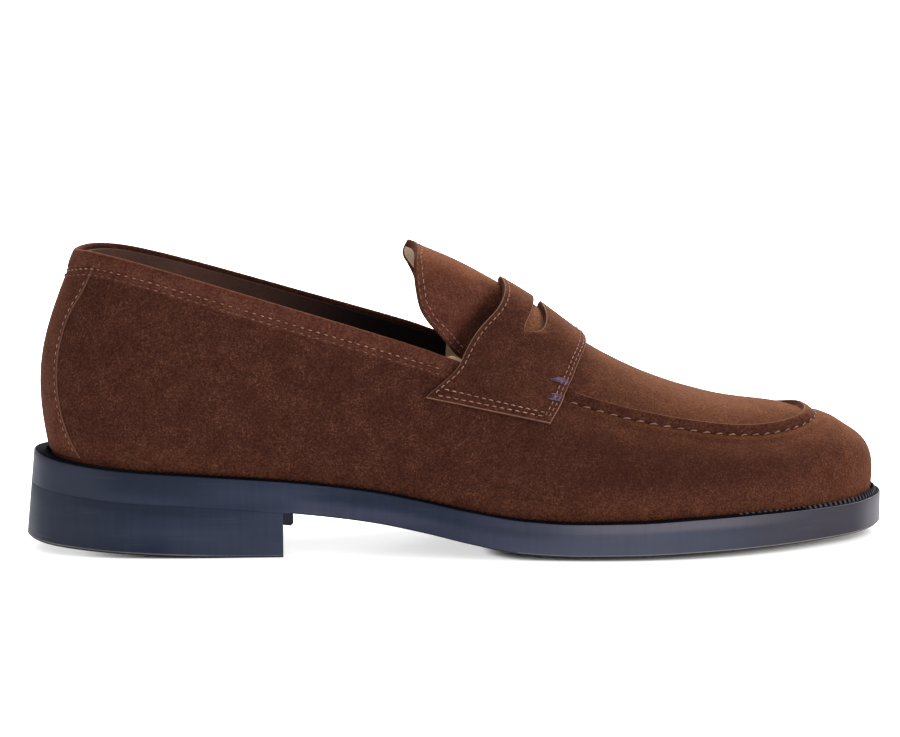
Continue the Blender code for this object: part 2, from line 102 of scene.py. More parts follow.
# Heights of the sole along x: welt top, lower edge of the outsole's side, and tread along the middle.
SOLE = np.array((
    (0.0, 33.9, 22.7, 22.7),
    (15.0, 31.5, 20.9, 20.9),
    (30.0, 29.8, 19.2, 19.2),
    (60.0, 27.7, 17.3, 17.3),
    (88.0, 25.6, 15.0, 15.0),
    (105.0, 23.9, 13.3, 12.9),
    (120.0, 21.9, 11.3, 10.5),
    (135.0, 19.1, 8.4, 7.2),
    (150.0, 16.0, 5.0, 3.6),
    (168.0, 13.3, 1.9, 0.3),
    (185.0, 12.4, 1.2, 0.0),
    (205.0, 12.6, 1.3, 0.0),
    (228.0, 13.4, 1.8, 0.2),
    (250.0, 13.8, 2.2, 0.7),
    (280.0, 13.7, 2.6, 1.4),
    (300.0, 13.9, 3.2, 2.0),
))
WELT_THICK = 3.5
WELT_SEAT = 9.0

HEEL_BREAST_X = 87.0
HEEL_FLARE = 3.4
HEEL_FLARE_END = 40.0
HEEL_BACK_LIFT = 4.2
HEEL_LIFT_END = 80.0
HEEL_LIFT_POWER = 2.0
HEEL_LIP_HIGH = 4.0
HEEL_LIP_REACH = 3.5

WALL = 2.0
RIB_REACH = 0.44
TOE_FULLER = 0.1
TOE_FULL_ROWS = (10.6, 12.6)
BAND_DEEP = 4.5
BAND_DEEP_BACK = 7.5
BAND_BACK_ROWS = 2.0
BAND_FOOT = 1.15
BAND_STEP = 0.6
BAND_END_ROW = 6.75
SEAM_HIGH = 2.1
SEAM_START_ROW = 7.79
SEAM_FULL_ROW = 7.88

# Saddle strap on one side: height up the rib, then the rows of its back and front edges there.
STRAP = np.array((
    (0.70, 6.47, 7.62),
    (1.00, 6.88, 7.80),
    (1.25, 6.95, 7.855),
    (1.50, 6.99, 7.84),
    (2.00, 6.83, 7.76),
))
STRAP_DROP = 0.05
STRAP_THICK = 2.0
SLOT_SHARE = 0.40
SLOT_SLANT = 0.037
# Slot in the strap: share of the way from the ridge to the slot's end, then its back and front edges
# as shares of the way across the strap.
SLOT = np.array((
    (0.0, 0.410, 0.487),
    (0.23, 0.372, 0.487),
    (0.53, 0.342, 0.512),
    (0.75, 0.336, 0.522),
    (0.93, 0.350, 0.514),
    (1.0, 0.376, 0.490),
))

# Tongue: row, then how far it reaches from the ridge to the outer and the inner side, as shares of the rib.
TONGUE = np.array((
    (5.80, 0.05, 0.09),
    (5.83, 0.02, 0.17),
    (5.887, -0.137, 0.285),
    (5.974, -0.334, 0.385),
    (6.079, -0.477, 0.455),
    (6.20, -0.605, 0.53),
    (6.363, -0.748, 0.64),
    (6.548, -0.835, 0.76),
    (6.727, -0.880, 0.84),
    (6.896, -0.890, 0.87),
    (7.235, -0.900, 0.90),
))
TONGUE_THICK = 2.6

# Back strip: height up the rib, and the row that its edge reaches on each side.
BACK_STRIP = np.array((
    (0.02, 1.95),
    (0.10, 1.64),
    (0.20, 1.40),
    (0.31, 1.25),
    (0.45, 1.13),
    (0.56, 1.09),
    (0.66, 1.10),
    (0.74, 1.17),
    (0.83, 1.36),
    (0.885, 1.46),
    (0.95, 1.58),
))
BACK_STRIP_LIFT = 0.6
BACK_STRIP_SUNK = 0.2
STRIP_UNDER = 0.7


def profile(table, column):
    """Curve along a table's first column that never overshoots its rows, so equal rows stay flat."""
    xs, zs = table[:, 0], table[:, column]
    step = np.diff(xs)
    slope = np.diff(zs) / step
    before, after = slope[:-1], slope[1:]
    bends_on = before * after > 0
    safe_before = np.where(bends_on, before, 1.0)
    safe_after = np.where(bends_on, after, 1.0)
    near = 2 * step[1:] + step[:-1]
    far = step[1:] + 2 * step[:-1]
    middle = (near + far) / (near / safe_before + far / safe_after)
    tangent = np.concatenate([slope[:1], np.where(bends_on, middle, 0.0), slope[-1:]])

    def at(x):
        x = np.clip(np.asarray(x, float), xs[0], xs[-1])
        i = np.clip(np.searchsorted(xs, x, side="right") - 1, 0, len(step) - 1)
        f = (x - xs[i]) / step[i]
        rise = zs[i] + (zs[i + 1] - zs[i]) * f * f * (3 - 2 * f)
        turn = tangent[i] * f * (1 - f) ** 2 - tangent[i + 1] * f * f * (1 - f)
        return rise + turn * step[i]

    return at


def closed_curve(outer_side, inner_side):
    """Smooth closed curve through one value per row, round the whole shoe, as a function of place."""
    values = np.concatenate([inner_side, outer_side[-2:0:-1]])
    count = len(values)
    one = np.eye(count)
    system = 4 * one + np.roll(one, 1, 0) + np.roll(one, -1, 0)
    bend = np.linalg.solve(system, np.roll(values, 1) - 2 * values + np.roll(values, -1))

    def at(place):
        place = np.asarray(place, float)
        start = np.floor(place).astype(int)
        f = place - start
        g = 1 - f
        a, b = start % count, (start + 1) % count
        return g * values[a] + f * values[b] + (g**3 - g) * bend[a] + (f**3 - f) * bend[b]

    return at


def last_curve(outer_name, inner_name=None, mirrored=False):
    outer_side = LAST[:, LAST_COLUMNS.index(outer_name)]
    inner_side = LAST[:, LAST_COLUMNS.index(inner_name or outer_name)]
    return closed_curve(-outer_side if mirrored else outer_side, inner_side)


sole_x = last_curve("sole_x")
sole_y = last_curve("sole_out", "sole_in", mirrored=True)
margin = last_curve("margin")
edge_x = last_curve("edge_x")
edge_y = last_curve("edge_out", "edge_in", mirrored=True)
edge_z = last_curve("edge_z_out", "edge_z_in")
ridge_x = last_curve("ridge_x")
lean_out = last_curve("lean_out")
lean_in = last_curve("lean_in")
ridge_y = profile(RIDGE, 1)
ridge_z = profile(RIDGE, 2)
welt_top = profile(SOLE, 1)
side_bottom = profile(SOLE, 2)
tread = profile(SOLE, 3)
strap_back = profile(STRAP, 1)
strap_front = profile(STRAP, 2)
strip_reach = profile(BACK_STRIP, 1)
tongue_outer = profile(TONGUE, 1)
tongue_inner = profile(TONGUE, 2)

NUDGE = 1e-4
TINY = 1e-6
NO_LENGTH = 1e-12
UP = np.array((0.0, 0.0, 1.0))
THIN_EDGE = 0.002


def unit(v):
    return v / np.maximum(np.linalg.norm(v, axis=-1, keepdims=True), NO_LENGTH)


def outward(place):
    """Level direction that points out of the sole's edge."""
    dx = sole_x(place + NUDGE) - sole_x(place - NUDGE)
    dy = sole_y(place + NUDGE) - sole_y(place - NUDGE)
    return unit(np.stack([-dy, dx, np.zeros_like(dx)], -1))


def sole_edge(place, inset):
    """Point in plan, inset from the sole's edge, at z = 0."""
    place = np.asarray(place, float)
    edge = np.stack([sole_x(place), sole_y(place), np.zeros_like(place)], -1)
    return edge - outward(place) * np.asarray(inset)[..., None]


def at_height(plan, z):
    return np.concatenate([plan[..., :2], np.asarray(z)[..., None]], -1)


def raised(plan, curve, high):
    """Points over a plan, higher by so much than a curve along the shoe."""
    return at_height(plan, curve(plan[..., 0]) + high)


def feather(place):
    """Line where the upper meets the welt."""
    return raised(sole_edge(place, margin(place)), welt_top, FIT_GAP)


def apart(a, b):
    return np.linalg.norm(a - b, axis=-1)


def leaning(out, degrees):
    angle = np.radians(degrees)[..., None]
    return out * np.sin(angle) + UP * np.cos(angle)


def bezier(a, b, c, d, f):
    f = f[..., None]
    g = 1 - f
    return a * g**3 + b * 3 * f * g**2 + c * 3 * f**2 * g + d * f**3


def ridge_slope(x):
    dy = (ridge_y(x + NUDGE) - ridge_y(x - NUDGE)) / (2 * NUDGE)
    dz = (ridge_z(x + NUDGE) - ridge_z(x - NUDGE)) / (2 * NUDGE)
    return dy, dz


def ramp(x, start, end):
    f = np.clip((x - start) / (end - start), 0, 1)
    return f * f * (3 - 2 * f)


def hump(x, middle, width):
    return np.exp(-(((x - middle) / width) ** 2))


def both_sides(half):
    """Rows of one side as places that run from the outer side round the heel to the inner side."""
    return np.concatenate([-half[:0:-1], half])


def rounded(depth, half):
    """Half thickness of a leaf at a depth in from its rounded edge."""
    f = np.clip(depth / half, 0.0, 1.0)
    return half * np.sqrt(np.clip(1 - (1 - f) ** 2, THIN_EDGE, 1))


def last_surface(place, t):
    """Point of the last: t is 0 at the welt, 1 on the topline or apron seam, 2 on the instep's ridge."""
    place, t = np.broadcast_arrays(np.asarray(place, float), np.asarray(t, float))
    out = outward(place)
    foot = feather(place)
    edge = np.stack([edge_x(place), edge_y(place), edge_z(place)], -1)
    x = ridge_x(place)
    ridge = np.stack([x, ridge_y(x), ridge_z(x)], -1)
    leave = leaning(out, lean_out(place))
    close = leaning(out, -lean_in(place))
    fuller = RIB_REACH + TOE_FULLER * ramp(abs(place), *TOE_FULL_ROWS)
    low_reach = fuller[..., None] * np.linalg.norm(edge - foot, axis=-1, keepdims=True)
    low = bezier(foot, foot + leave * low_reach, edge - close * low_reach, edge, np.clip(t, 0, 1))
    dy, dz = ridge_slope(x)
    along = (edge_x(place) - x) * ramp(abs(place), FAN_START_ROW, TOE_ROW)
    across = edge_y(place) - ridge[..., 1]
    level = unit(np.stack([along, across, along * dz], -1))
    high_reach = RIB_REACH * np.linalg.norm(ridge - edge, axis=-1, keepdims=True)
    high = bezier(edge, edge + close * high_reach, ridge + level * high_reach, ridge, np.clip(t - 1, 0, 1))
    return np.where((t <= 1)[..., None], low, high)


def last_normal(place, t):
    """Direction that points out of the last."""
    place, t = np.broadcast_arrays(np.asarray(place, float), np.asarray(t, float))
    up = last_surface(place, np.clip(t + NUDGE, 0, 2)) - last_surface(place, np.clip(t - NUDGE, 0, 2))
    run = last_surface(place + NUDGE, t) - last_surface(place - NUDGE, t)
    side_normal = np.cross(up, run)
    dy, dz = ridge_slope(ridge_x(place))
    ridge_normal = np.stack([-dz, np.zeros_like(dz), np.ones_like(dz)], -1)
    on_ridge = (t > 2 - NUDGE)[..., None]
    return unit(np.where(on_ridge, ridge_normal, side_normal))


def skin(place, t, lift=0.0):
    """Point that stands lift above the last, along its normal."""
    place, t = np.broadcast_arrays(np.asarray(place, float), np.asarray(t, float))
    return last_surface(place, t) + last_normal(place, t) * np.broadcast_to(lift, t.shape)[..., None]


def band_deep(place):
    """Depth of the collar band below the topline, deeper round the back."""
    return BAND_DEEP_BACK + (BAND_DEEP - BAND_DEEP_BACK) * ramp(abs(place), 0, BAND_BACK_ROWS)


def rib_speed(place, side):
    """Millimetres for each unit of t next to the edge: side is -1 below it and 1 above it."""
    return apart(last_surface(place, 1 + 2 * side * NUDGE), last_surface(place, 1 + side * NUDGE)) / NUDGE


def t_below(place, below):
    """t of a point below the edge by so many millimetres."""
    return 1 - below / rib_speed(place, -1)


# Mesh helpers


def to_metres(points):
    return (np.asarray(points) - (SHOE_LENGTH / 2, CENTRE_Y, 0.0)) * MM


def clean_rings(quads):
    """Faces as index tuples, with repeated corners dropped."""
    rings = [tuple(dict.fromkeys(q)) for q in quads.tolist()]
    return [i for i, ring in enumerate(rings) if len(ring) > 2], [r for r in rings if len(r) > 2]


def put(name, data, place=(0.0, 0.0, 0.0), look=None):
    """Object in the scene at a place, turned to look along a direction if one is given."""
    made = bpy.data.objects.new(name, data)
    made.location = place
    if look is not None:
        made.rotation_euler = look.to_track_quat("-Z", "Y").to_euler()
    bpy.context.scene.collection.objects.link(made)
    return made


WELD = 2e-6
BEVEL_STEPS = 3


def make_object(name, points, quads, kinds, materials, round_mm=0.0, round_kind=-1,
                round_degrees=50.0, sharp_degrees=60.0):
    """Object from points in millimetres and quads, each with the number of its material."""
    kept, rings = clean_rings(quads)
    mesh = bpy.data.meshes.new(name)
    mesh.from_pydata(to_metres(points).tolist(), [], rings)
    for material in materials:
        mesh.materials.append(material)
    mesh.polygons.foreach_set("material_index", np.asarray(kinds)[kept].astype(np.int32))
    work = bmesh.new()
    work.from_mesh(mesh)
    bmesh.ops.remove_doubles(work, verts=work.verts, dist=WELD)
    bmesh.ops.delete(work, geom=[v for v in work.verts if not v.link_faces], context="VERTS")
    bmesh.ops.recalc_face_normals(work, faces=work.faces)
    if round_mm:
        limit = np.radians(round_degrees)
        edges = [e for e in work.edges if len(e.link_faces) == 2 and e.calc_face_angle(0.0) > limit]
        bmesh.ops.bevel(
            work, geom=edges, offset=round_mm * MM, offset_type="OFFSET", segments=BEVEL_STEPS,
            profile=0.5, affect="EDGES", clamp_overlap=True, material=round_kind,
        )
    work.to_mesh(mesh)
    work.free()
    mesh.shade_smooth()
    mesh.set_sharp_from_angle(angle=np.radians(sharp_degrees))
    return put(name, mesh)


def grid_quads(rows, columns):
    ids = np.arange(rows * columns).reshape(rows, columns)
    return np.stack([ids[:-1, :-1], ids[:-1, 1:], ids[1:, 1:], ids[1:, :-1]], -1).reshape(-1, 4)


class Skin:
    """Grids of points that close into one surface, welded where they meet."""

    def __init__(self):
        self.points, self.quads, self.kinds, self.count = [], [], [], 0

    def grid(self, points, kind=0):
        rows, columns = points.shape[:2]
        quads = grid_quads(rows, columns) + self.count
        kind = np.broadcast_to(np.asarray(kind), (rows - 1, columns - 1)).reshape(-1)
        self.points.append(points.reshape(-1, 3))
        self.quads.append(quads)
        self.kinds.append(kind)
        self.count += rows * columns

    def make(self, name, materials, **options):
        return make_object(
            name, np.concatenate(self.points), np.concatenate(self.quads),
            np.concatenate(self.kinds), materials, **options,
        )


OUTER, INNER, RIM, EDGE_HIGHLIGHT_KIND, LIT_BAND_KIND, SLOT_LIGHT_KIND = range(6)


class Shell:
    """Closed wall between two matching skins of points, with a rim along every free edge."""

    def __init__(self):
        self.outer, self.inner, self.quads, self.count = [], [], [], 0
        self.outer_kinds, self.inner_kinds = [], []

    def grid(self, outer, inner, hole=None, outer_kind=OUTER, inner_kind=INNER):
        rows, columns = outer.shape[:2]
        quads = grid_quads(rows, columns) + self.count
        keep = np.ones(len(quads), bool) if hole is None else ~hole.reshape(-1)
        for kinds, kind in ((self.outer_kinds, outer_kind), (self.inner_kinds, inner_kind)):
            kinds.append(np.broadcast_to(kind, (rows - 1, columns - 1)).reshape(-1)[keep])
        self.quads.append(quads[keep])
        self.outer.append(outer.reshape(-1, 3))
        self.inner.append(inner.reshape(-1, 3))
        self.count += rows * columns

    def make(self, name, materials, **options):
        outer, inner = np.concatenate(self.outer), np.concatenate(self.inner)
        _, first, where = np.unique(np.round(outer, 3), axis=0, return_index=True, return_inverse=True)
        quads = where.reshape(-1)[np.concatenate(self.quads)]
        outer, inner = outer[first], inner[first]
        count = len(outer)
        edges = np.stack([quads, np.roll(quads, -1, 1)], -1).reshape(-1, 2)
        edges = edges[edges[:, 0] != edges[:, 1]]
        there, back = edges @ (count, 1), edges @ (1, count)
        free = edges[~np.isin(there, back)]
        rim = np.stack([free[:, 1], free[:, 0], free[:, 0] + count, free[:, 1] + count], -1)
        kinds = np.concatenate(self.outer_kinds + self.inner_kinds + [np.full(len(rim), RIM)])
        faces = np.concatenate([quads, quads[:, ::-1] + count, rim])
        return make_object(name, np.concatenate([outer, inner]), faces, kinds, materials, **options)


# Stitches


def run_length(points):
    return np.concatenate([[0.0], np.cumsum(np.linalg.norm(np.diff(points, axis=0), axis=1))])


def along(points, run, at):
    return np.stack([np.interp(at, run, points[:, i]) for i in range(3)], -1)


THREAD_SIDES = 6
THREAD_STEPS = 6
THREAD_TIP = 0.12
STITCH_PITCH = 2.5
STITCH_LONG = 1.7


def lay_threads(start, end, normal, radius, rise, sink):
    """Points and quads of short threads that arch over the surface and dip in at both ends."""
    u = np.linspace(-1, 1, THREAD_STEPS + 1)[None, :, None, None]
    angle = np.linspace(0, 2 * np.pi, THREAD_SIDES, endpoint=False)[None, None, :, None]
    middle = ((start + end) / 2)[:, None, None, :]
    half = ((end - start) / 2)[:, None, None, :]
    up = normal[:, None, None, :]
    side = unit(np.cross(end - start, normal))[:, None, None, :]
    thick = radius * np.maximum(1 - abs(u) ** 3, THREAD_TIP) ** 0.5
    points = middle + half * u + up * (rise - (rise + sink) * u**2)
    points = points + thick * (np.cos(angle) * side + np.sin(angle) * up)
    ids = np.arange(points.size // 3).reshape(points.shape[:3])
    turn = np.roll(ids, -1, 2)
    quads = np.stack([ids[:, :-1], turn[:, :-1], turn[:, 1:], ids[:, 1:]], -1).reshape(-1, 4)
    halves = [(0, 1, 2, 3), (0, 3, 4, 5)]
    caps = [cap[:, pick] for cap in (ids[:, 0, ::-1], ids[:, -1]) for pick in halves]
    return points.reshape(-1, 3), np.concatenate([quads] + caps)


def stitches_at(middles, half, points, normals, skew=0.0):
    """Starts, ends and normals of stitches with their middles at these lengths along a line."""
    run = run_length(points)
    normal = unit(along(normals, run, middles))
    start, end = (along(points, run, middles + sign * half) for sign in (-1, 1))
    side = unit(np.cross(end - start, normal)) * skew
    return start + side, end - side, normal


def stitch_row(points, normals, pitch=STITCH_PITCH, length=STITCH_LONG):
    """Stitches spaced evenly along a line on the surface."""
    whole = run_length(points)[-1]
    count = int(whole / pitch)
    return stitches_at((np.arange(count) + 0.5) * whole / count, length / 2, points, normals)


def make_threads(name, rows, materials, radius=0.2, rise=0.16, sink=0.16):
    """One mesh of stitches from rows of starts, ends and normals, each row in the next finish in turn."""
    points, quads, kinds, count = [], [], [], 0
    for number, row in enumerate(rows):
        row_points, row_quads = lay_threads(*row, radius, rise, sink)
        points.append(row_points)
        quads.append(row_quads + count)
        kinds.append(np.full(len(row_quads), number % len(materials)))
        count += len(row_points)
    points, quads, kinds = (np.concatenate(part) for part in (points, quads, kinds))
    return make_object(name, points, quads, kinds, materials)


class Ground:
    """A finished piece's surface, to lay stitches on."""

    def __init__(self, piece):
        points = [v.co for v in piece.data.vertices]
        self.tree = BVHTree.FromPolygons(points, [tuple(p.vertices) for p in piece.data.polygons])

    def press(self, points):
        """Nearest points on the surface and the normals there, in millimetres of the shoe."""
        found = [self.tree.find_nearest(Vector(p)) for p in to_metres(points)]
        where = np.array([f[0] for f in found]) / MM + (SHOE_LENGTH / 2, CENTRE_Y, 0.0)
        return where, np.array([f[1] for f in found])


# Materials


def opaque(colour):
    return (*colour, 1.0)


def shade(colour, factor):
    return tuple(np.multiply(colour, factor))


class Nodes:
    """Short way to build one Principled material out of nodes."""

    def __init__(self, name, roughness, **plain):
        self.material = bpy.data.materials.new(name)
        self.material.use_nodes = True
        self.tree = self.material.node_tree
        self.shader = self.tree.nodes["Principled BSDF"]
        self.shader.inputs["Roughness"].default_value = roughness
        for key, value in plain.items():
            self.shader.inputs[key.replace("_", " ")].default_value = value
        self.where = self.new("ShaderNodeTexCoord").outputs["Object"]

    def new(self, kind, **settings):
        node = self.tree.nodes.new(kind)
        for key, value in settings.items():
            setattr(node, key, value)
        return node

    def link(self, value, socket):
        if isinstance(value, bpy.types.NodeSocket):
            self.tree.links.new(value, socket)
        else:
            socket.default_value = value

    def noise(self, size_mm, detail=2.0, roughness=0.5, stretch=None, distortion=0.0):
        """Noise whose blobs are about size_mm across."""
        node = self.new("ShaderNodeTexNoise")
        node.inputs["Scale"].default_value = 1 / (size_mm * MM)
        node.inputs["Detail"].default_value = detail
        node.inputs["Roughness"].default_value = roughness
        node.inputs["Distortion"].default_value = distortion
        where = self.where
        if stretch:
            mapping = self.new("ShaderNodeMapping")
            mapping.inputs["Scale"].default_value = stretch
            self.link(where, mapping.inputs["Vector"])
            where = mapping.outputs["Vector"]
        self.link(where, node.inputs["Vector"])
        return node.outputs["Fac"]

    def math(self, kind, a, b=0.0, c=0.0):
        node = self.new("ShaderNodeMath", operation=kind)
        for value, socket in zip((a, b, c), node.inputs):
            self.link(value, socket)
        return node.outputs[0]

    def weighted(self, *parts, base=0.0):
        """Sum of values, each times its weight, on top of a base."""
        for value, weight in parts:
            base = self.math("MULTIPLY_ADD", value, weight, base)
        return base

    def product(self, first, *rest):
        for value in rest:
            first = self.math("MULTIPLY", first, value)
        return first

    def ramp(self, value, *stops):
        node = self.new("ShaderNodeValToRGB")
        ramp = node.color_ramp
        while len(ramp.elements) < len(stops):
            ramp.elements.new(1.0)
        for element, (place, colour) in zip(ramp.elements, stops):
            element.position = place
            element.color = opaque(colour)
        self.link(value, node.inputs["Fac"])
        return node.outputs["Color"]

    def grey(self, value, low, high, start=0.3, end=0.7):
        """Value spread from low to high as it goes from start to end."""
        node = self.new("ShaderNodeMapRange", interpolation_type="SMOOTHSTEP")
        for value_in, socket in zip((value, start, end, low, high), node.inputs):
            self.link(value_in, socket)
        return node.outputs["Result"]

    def mix(self, factor, a, b):
        """Colour that goes from a to b with the factor."""
        node = self.new("ShaderNodeMix", data_type="RGBA")
        for key, value in (("Factor", factor), ("A", a), ("B", b)):
            self.link(opaque(value) if isinstance(value, tuple) else value, node.inputs[key])
        return node.outputs["Result"]

    def bump(self, height, distance_mm, strength=1.0, under=None):
        node = self.new("ShaderNodeBump")
        node.inputs["Strength"].default_value = strength
        node.inputs["Distance"].default_value = distance_mm * MM
        self.link(height, node.inputs["Height"])
        if under is not None:
            self.link(under, node.inputs["Normal"])
        return node.outputs["Normal"]

    def facing_up(self):
        """1 on what faces up, -1 on what faces down."""
        node = self.new("ShaderNodeSeparateXYZ")
        self.link(self.new("ShaderNodeNewGeometry").outputs["Normal"], node.inputs["Vector"])
        return node.outputs["Z"]

    def place(self, axes="XZ"):
        """Place along the axes, in metres: along the shoe and its height unless others are named."""
        split = self.new("ShaderNodeSeparateXYZ")
        self.link(self.where, split.inputs["Vector"])
        return [split.outputs[axis] for axis in axes]

    def window(self, value, stops):
        """1 between the two middle stops, and 0 outside the outer two."""
        begin, full, fade, gone = stops
        return self.product(self.grey(value, 0.0, 1.0, begin, full), self.grey(value, 1.0, 0.0, fade, gone))

    def finish(self, colour, normal=None, roughness=None):
        self.link(colour, self.shader.inputs["Base Color"])
        if normal is not None:
            self.link(normal, self.shader.inputs["Normal"])
        if roughness is not None:
            self.link(roughness, self.shader.inputs["Roughness"])
        return self.material


SUEDE_DARK = (0.0235, 0.0073, 0.0053)
SUEDE_MID = (0.0405, 0.0139, 0.0093)
SUEDE_LIGHT = (0.072, 0.0275, 0.0175)
# Painted top light: suede that faces up is mixed towards this lighter, warmer colour.
SUEDE_PAINTED_TOP_LIGHT = (0.132, 0.0460, 0.0165)
SUEDE_SPECK = (0.132, 0.053, 0.028)
# Colour of the brushed nap and of the painted bounce light low by the welt and at the toe.
SUEDE_BRUSHED_AND_BOUNCE_LIGHT = (0.130, 0.0445, 0.0205)
SHEEN_GOLD = (0.9, 0.42, 0.2, 1.0)
# Height of the welt's top along the shoe, in metres, for the nap that is brushed up next to it and lit there
# with painted bounce light.
WELT_RISE_X = (-0.15, 0.018)
WELT_RISE_POWER = 0.75
WELT_RISE = 0.0197
WELT_LOW = 0.0133
# Weights of the patches, mottle, tufts, nap and fibre in the tone, the tone under them, and the ramp's stops.
SUEDE_WEIGHTS = (0.03, 0.12, 0.10, 0.36, 0.22)
SUEDE_BASE = 0.06
SUEDE_STOPS = (0.40, 0.50, 0.61)
# Brushed nap with painted bounce light, lighter low by the welt and towards the toe: share and heights above
# the welt, in metres, then share and x towards the toe.
BRUSHED_AND_BOUNCE_LOW = 0.12
BRUSHED_AND_BOUNCE_ABOVE = (0.002, 0.012)
BRUSHED_AND_BOUNCE_TOE = 0.16
BRUSHED_AND_BOUNCE_TOE_X = (0.095, 0.145)
# Painted shade, a flat dark patch on the vamp's side under the apron: share, and where it begins, is full,
# begins to fade and is gone, in metres.
PAINTED_SHADE_SHARE = 0.35
PAINTED_SHADE_X = (0.0, 0.05, 0.10, 0.135)
PAINTED_SHADE_Z = (0.020, 0.028, 0.036, 0.044)
# Share of the painted top light on suede that faces up.
LIT_SHARE = 0.7


def suede(name, tone=1.0, sheen=0.05, lit_from=(0.62, 1.02)):
    n = Nodes(
        name, 0.95, Sheen_Weight=sheen, Sheen_Roughness=0.45, Sheen_Tint=SHEEN_GOLD, Specular_IOR_Level=0.02
    )
    patches = n.noise(46, 2.0)
    mottle = n.noise(7.5, 3.0)
    tuft = n.noise(2.3, 2.0)
    nap = n.noise(0.8, 2.5, 0.6)
    fibre = n.noise(0.36, 1.0, 0.5, stretch=(0.55, 0.55, 1.0))
    value = n.weighted(*zip((patches, mottle, tuft, nap, fibre), SUEDE_WEIGHTS), base=SUEDE_BASE)
    tones = [shade(colour, tone) for colour in (SUEDE_DARK, SUEDE_MID, SUEDE_LIGHT)]
    colour = n.ramp(value, *zip(SUEDE_STOPS, tones))
    specks = n.product(n.grey(n.noise(0.55, 0.0), 0.0, 0.45, 0.62, 0.74), n.grey(mottle, 0.4, 1.0, 0.4, 0.6))
    colour = n.mix(specks, colour, SUEDE_SPECK)
    forward, high = n.place()
    # Brushed nap and painted bounce light: lighter low by the welt and towards the toe.
    back = n.math("POWER", n.grey(forward, 1.0, 0.0, *WELT_RISE_X), WELT_RISE_POWER)
    above = n.math("SUBTRACT", high, n.math("MULTIPLY_ADD", back, WELT_RISE, WELT_LOW))
    near_welt = n.grey(above, BRUSHED_AND_BOUNCE_LOW, 0.0, *BRUSHED_AND_BOUNCE_ABOVE)
    brushed_and_bounce = n.math("MAXIMUM", near_welt, n.grey(forward, 0.0, BRUSHED_AND_BOUNCE_TOE, *BRUSHED_AND_BOUNCE_TOE_X))
    brushed_and_bounce = n.product(brushed_and_bounce, n.grey(value, 0.5, 1.5, 0.42, 0.54))
    colour = n.mix(brushed_and_bounce, colour, SUEDE_BRUSHED_AND_BOUNCE_LIGHT)
    # Painted shade on the vamp's side under the apron.
    flat = n.product(n.window(forward, PAINTED_SHADE_X), n.window(high, PAINTED_SHADE_Z), PAINTED_SHADE_SHARE)
    colour = n.mix(flat, colour, SUEDE_DARK)
    # Painted top light: what faces up turns lighter and warmer.
    lit = n.grey(n.facing_up(), 0.0, LIT_SHARE, *lit_from)
    colour = n.mix(lit, colour, n.mix(n.grey(value, 0.35, 1.0, 0.40, 0.60), colour, SUEDE_PAINTED_TOP_LIGHT))
    normal = n.bump(nap, 0.25, 0.6)
    normal = n.bump(mottle, 0.35, 0.35, normal)
    return n.finish(colour, normal)


# Painted shade inside the shoe: the quarter lining turns darker towards the throat.
LINING_PAINTED_SHADE = (0.0055, 0.0030, 0.0045)
LINING_PAINTED_SHADE_X = (-0.085, -0.025)


def smooth_leather(name, dark, light, roughness, grain_mm=0.9, painted_shade=False):
    """Leather with fine pores, which may darken towards the throat with painted shade."""
    n = Nodes(name, roughness, Specular_IOR_Level=0.15)
    cloud = n.noise(22, 3.0)
    pores = n.noise(grain_mm, 3.0, 0.6)
    value = n.weighted((cloud, 0.6), (pores, 0.4))
    colour = n.ramp(value, (0.34, dark), (0.66, light))
    if painted_shade:
        forward, _ = n.place()
        colour = n.mix(n.grey(forward, 0.0, 1.0, *LINING_PAINTED_SHADE_X), colour, LINING_PAINTED_SHADE)
    return n.finish(colour, n.bump(pores, 0.12, 0.5), n.grey(cloud, roughness - 0.08, roughness + 0.1))


# Rubbed places and painted light of the sole's side: x where each begins, is full, begins to fade and is
# gone, the same four for the depth below the welt's top, how strong it is, and its colour. The lighter rows
# are painted light: the forefoot and the heel's front lit from the front, a painted highlight along the top
# of the forefoot's side and at the toe's end, and a painted reflection of the floor low on the waist. The
# darker rows are scuffs near the heel's back and darker places at the heel's back and the toe.
ALL_DEPTHS = (-9.0, -8.0, 80.0, 81.0)
RUBS_AND_PAINTED_LIGHT = (
    ((-10.0, -9.0, 18.0, 45.0), ALL_DEPTHS, 0.5, (0.0215, 0.0240, 0.0320)),
    ((40.0, 85.0, 92.0, 106.0), ALL_DEPTHS, 0.22, (0.050, 0.058, 0.095)),
    ((40.0, 75.0, 92.0, 93.0), (14.0, 25.0, 80.0, 81.0), 0.42, (0.058, 0.062, 0.098)),
    ((20.0, 33.0, 48.0, 70.0), (-9.0, -8.0, 5.0, 10.0), 0.55, (0.0055, 0.0080, 0.0170)),
    ((8.0, 25.0, 45.0, 68.0), (9.8, 11.0, 12.5, 15.0), 0.5, (0.0060, 0.0085, 0.0170)),
    ((84.0, 96.0, 185.0, 215.0), (4.0, 7.2, 80.0, 81.0), 0.47, (0.058, 0.062, 0.102)),
    ((140.0, 190.0, 205.0, 245.0), ALL_DEPTHS, 0.85, (0.060, 0.064, 0.092)),
    ((200.0, 240.0, 270.0, 300.0), ALL_DEPTHS, 0.45, (0.060, 0.064, 0.090)),
    ((170.0, 200.0, 238.0, 272.0), (-9.0, -8.0, 2.0, 4.5), 0.55, (0.120, 0.105, 0.126)),
    ((220.0, 280.0, 310.0, 311.0), ALL_DEPTHS, 0.9, (0.0205, 0.0160, 0.0215)),
    ((284.0, 294.0, 310.0, 311.0), ALL_DEPTHS, 0.9, (0.060, 0.058, 0.068)),
)
SCRATCH = (0.070, 0.072, 0.092)
TALLEST = 40.0


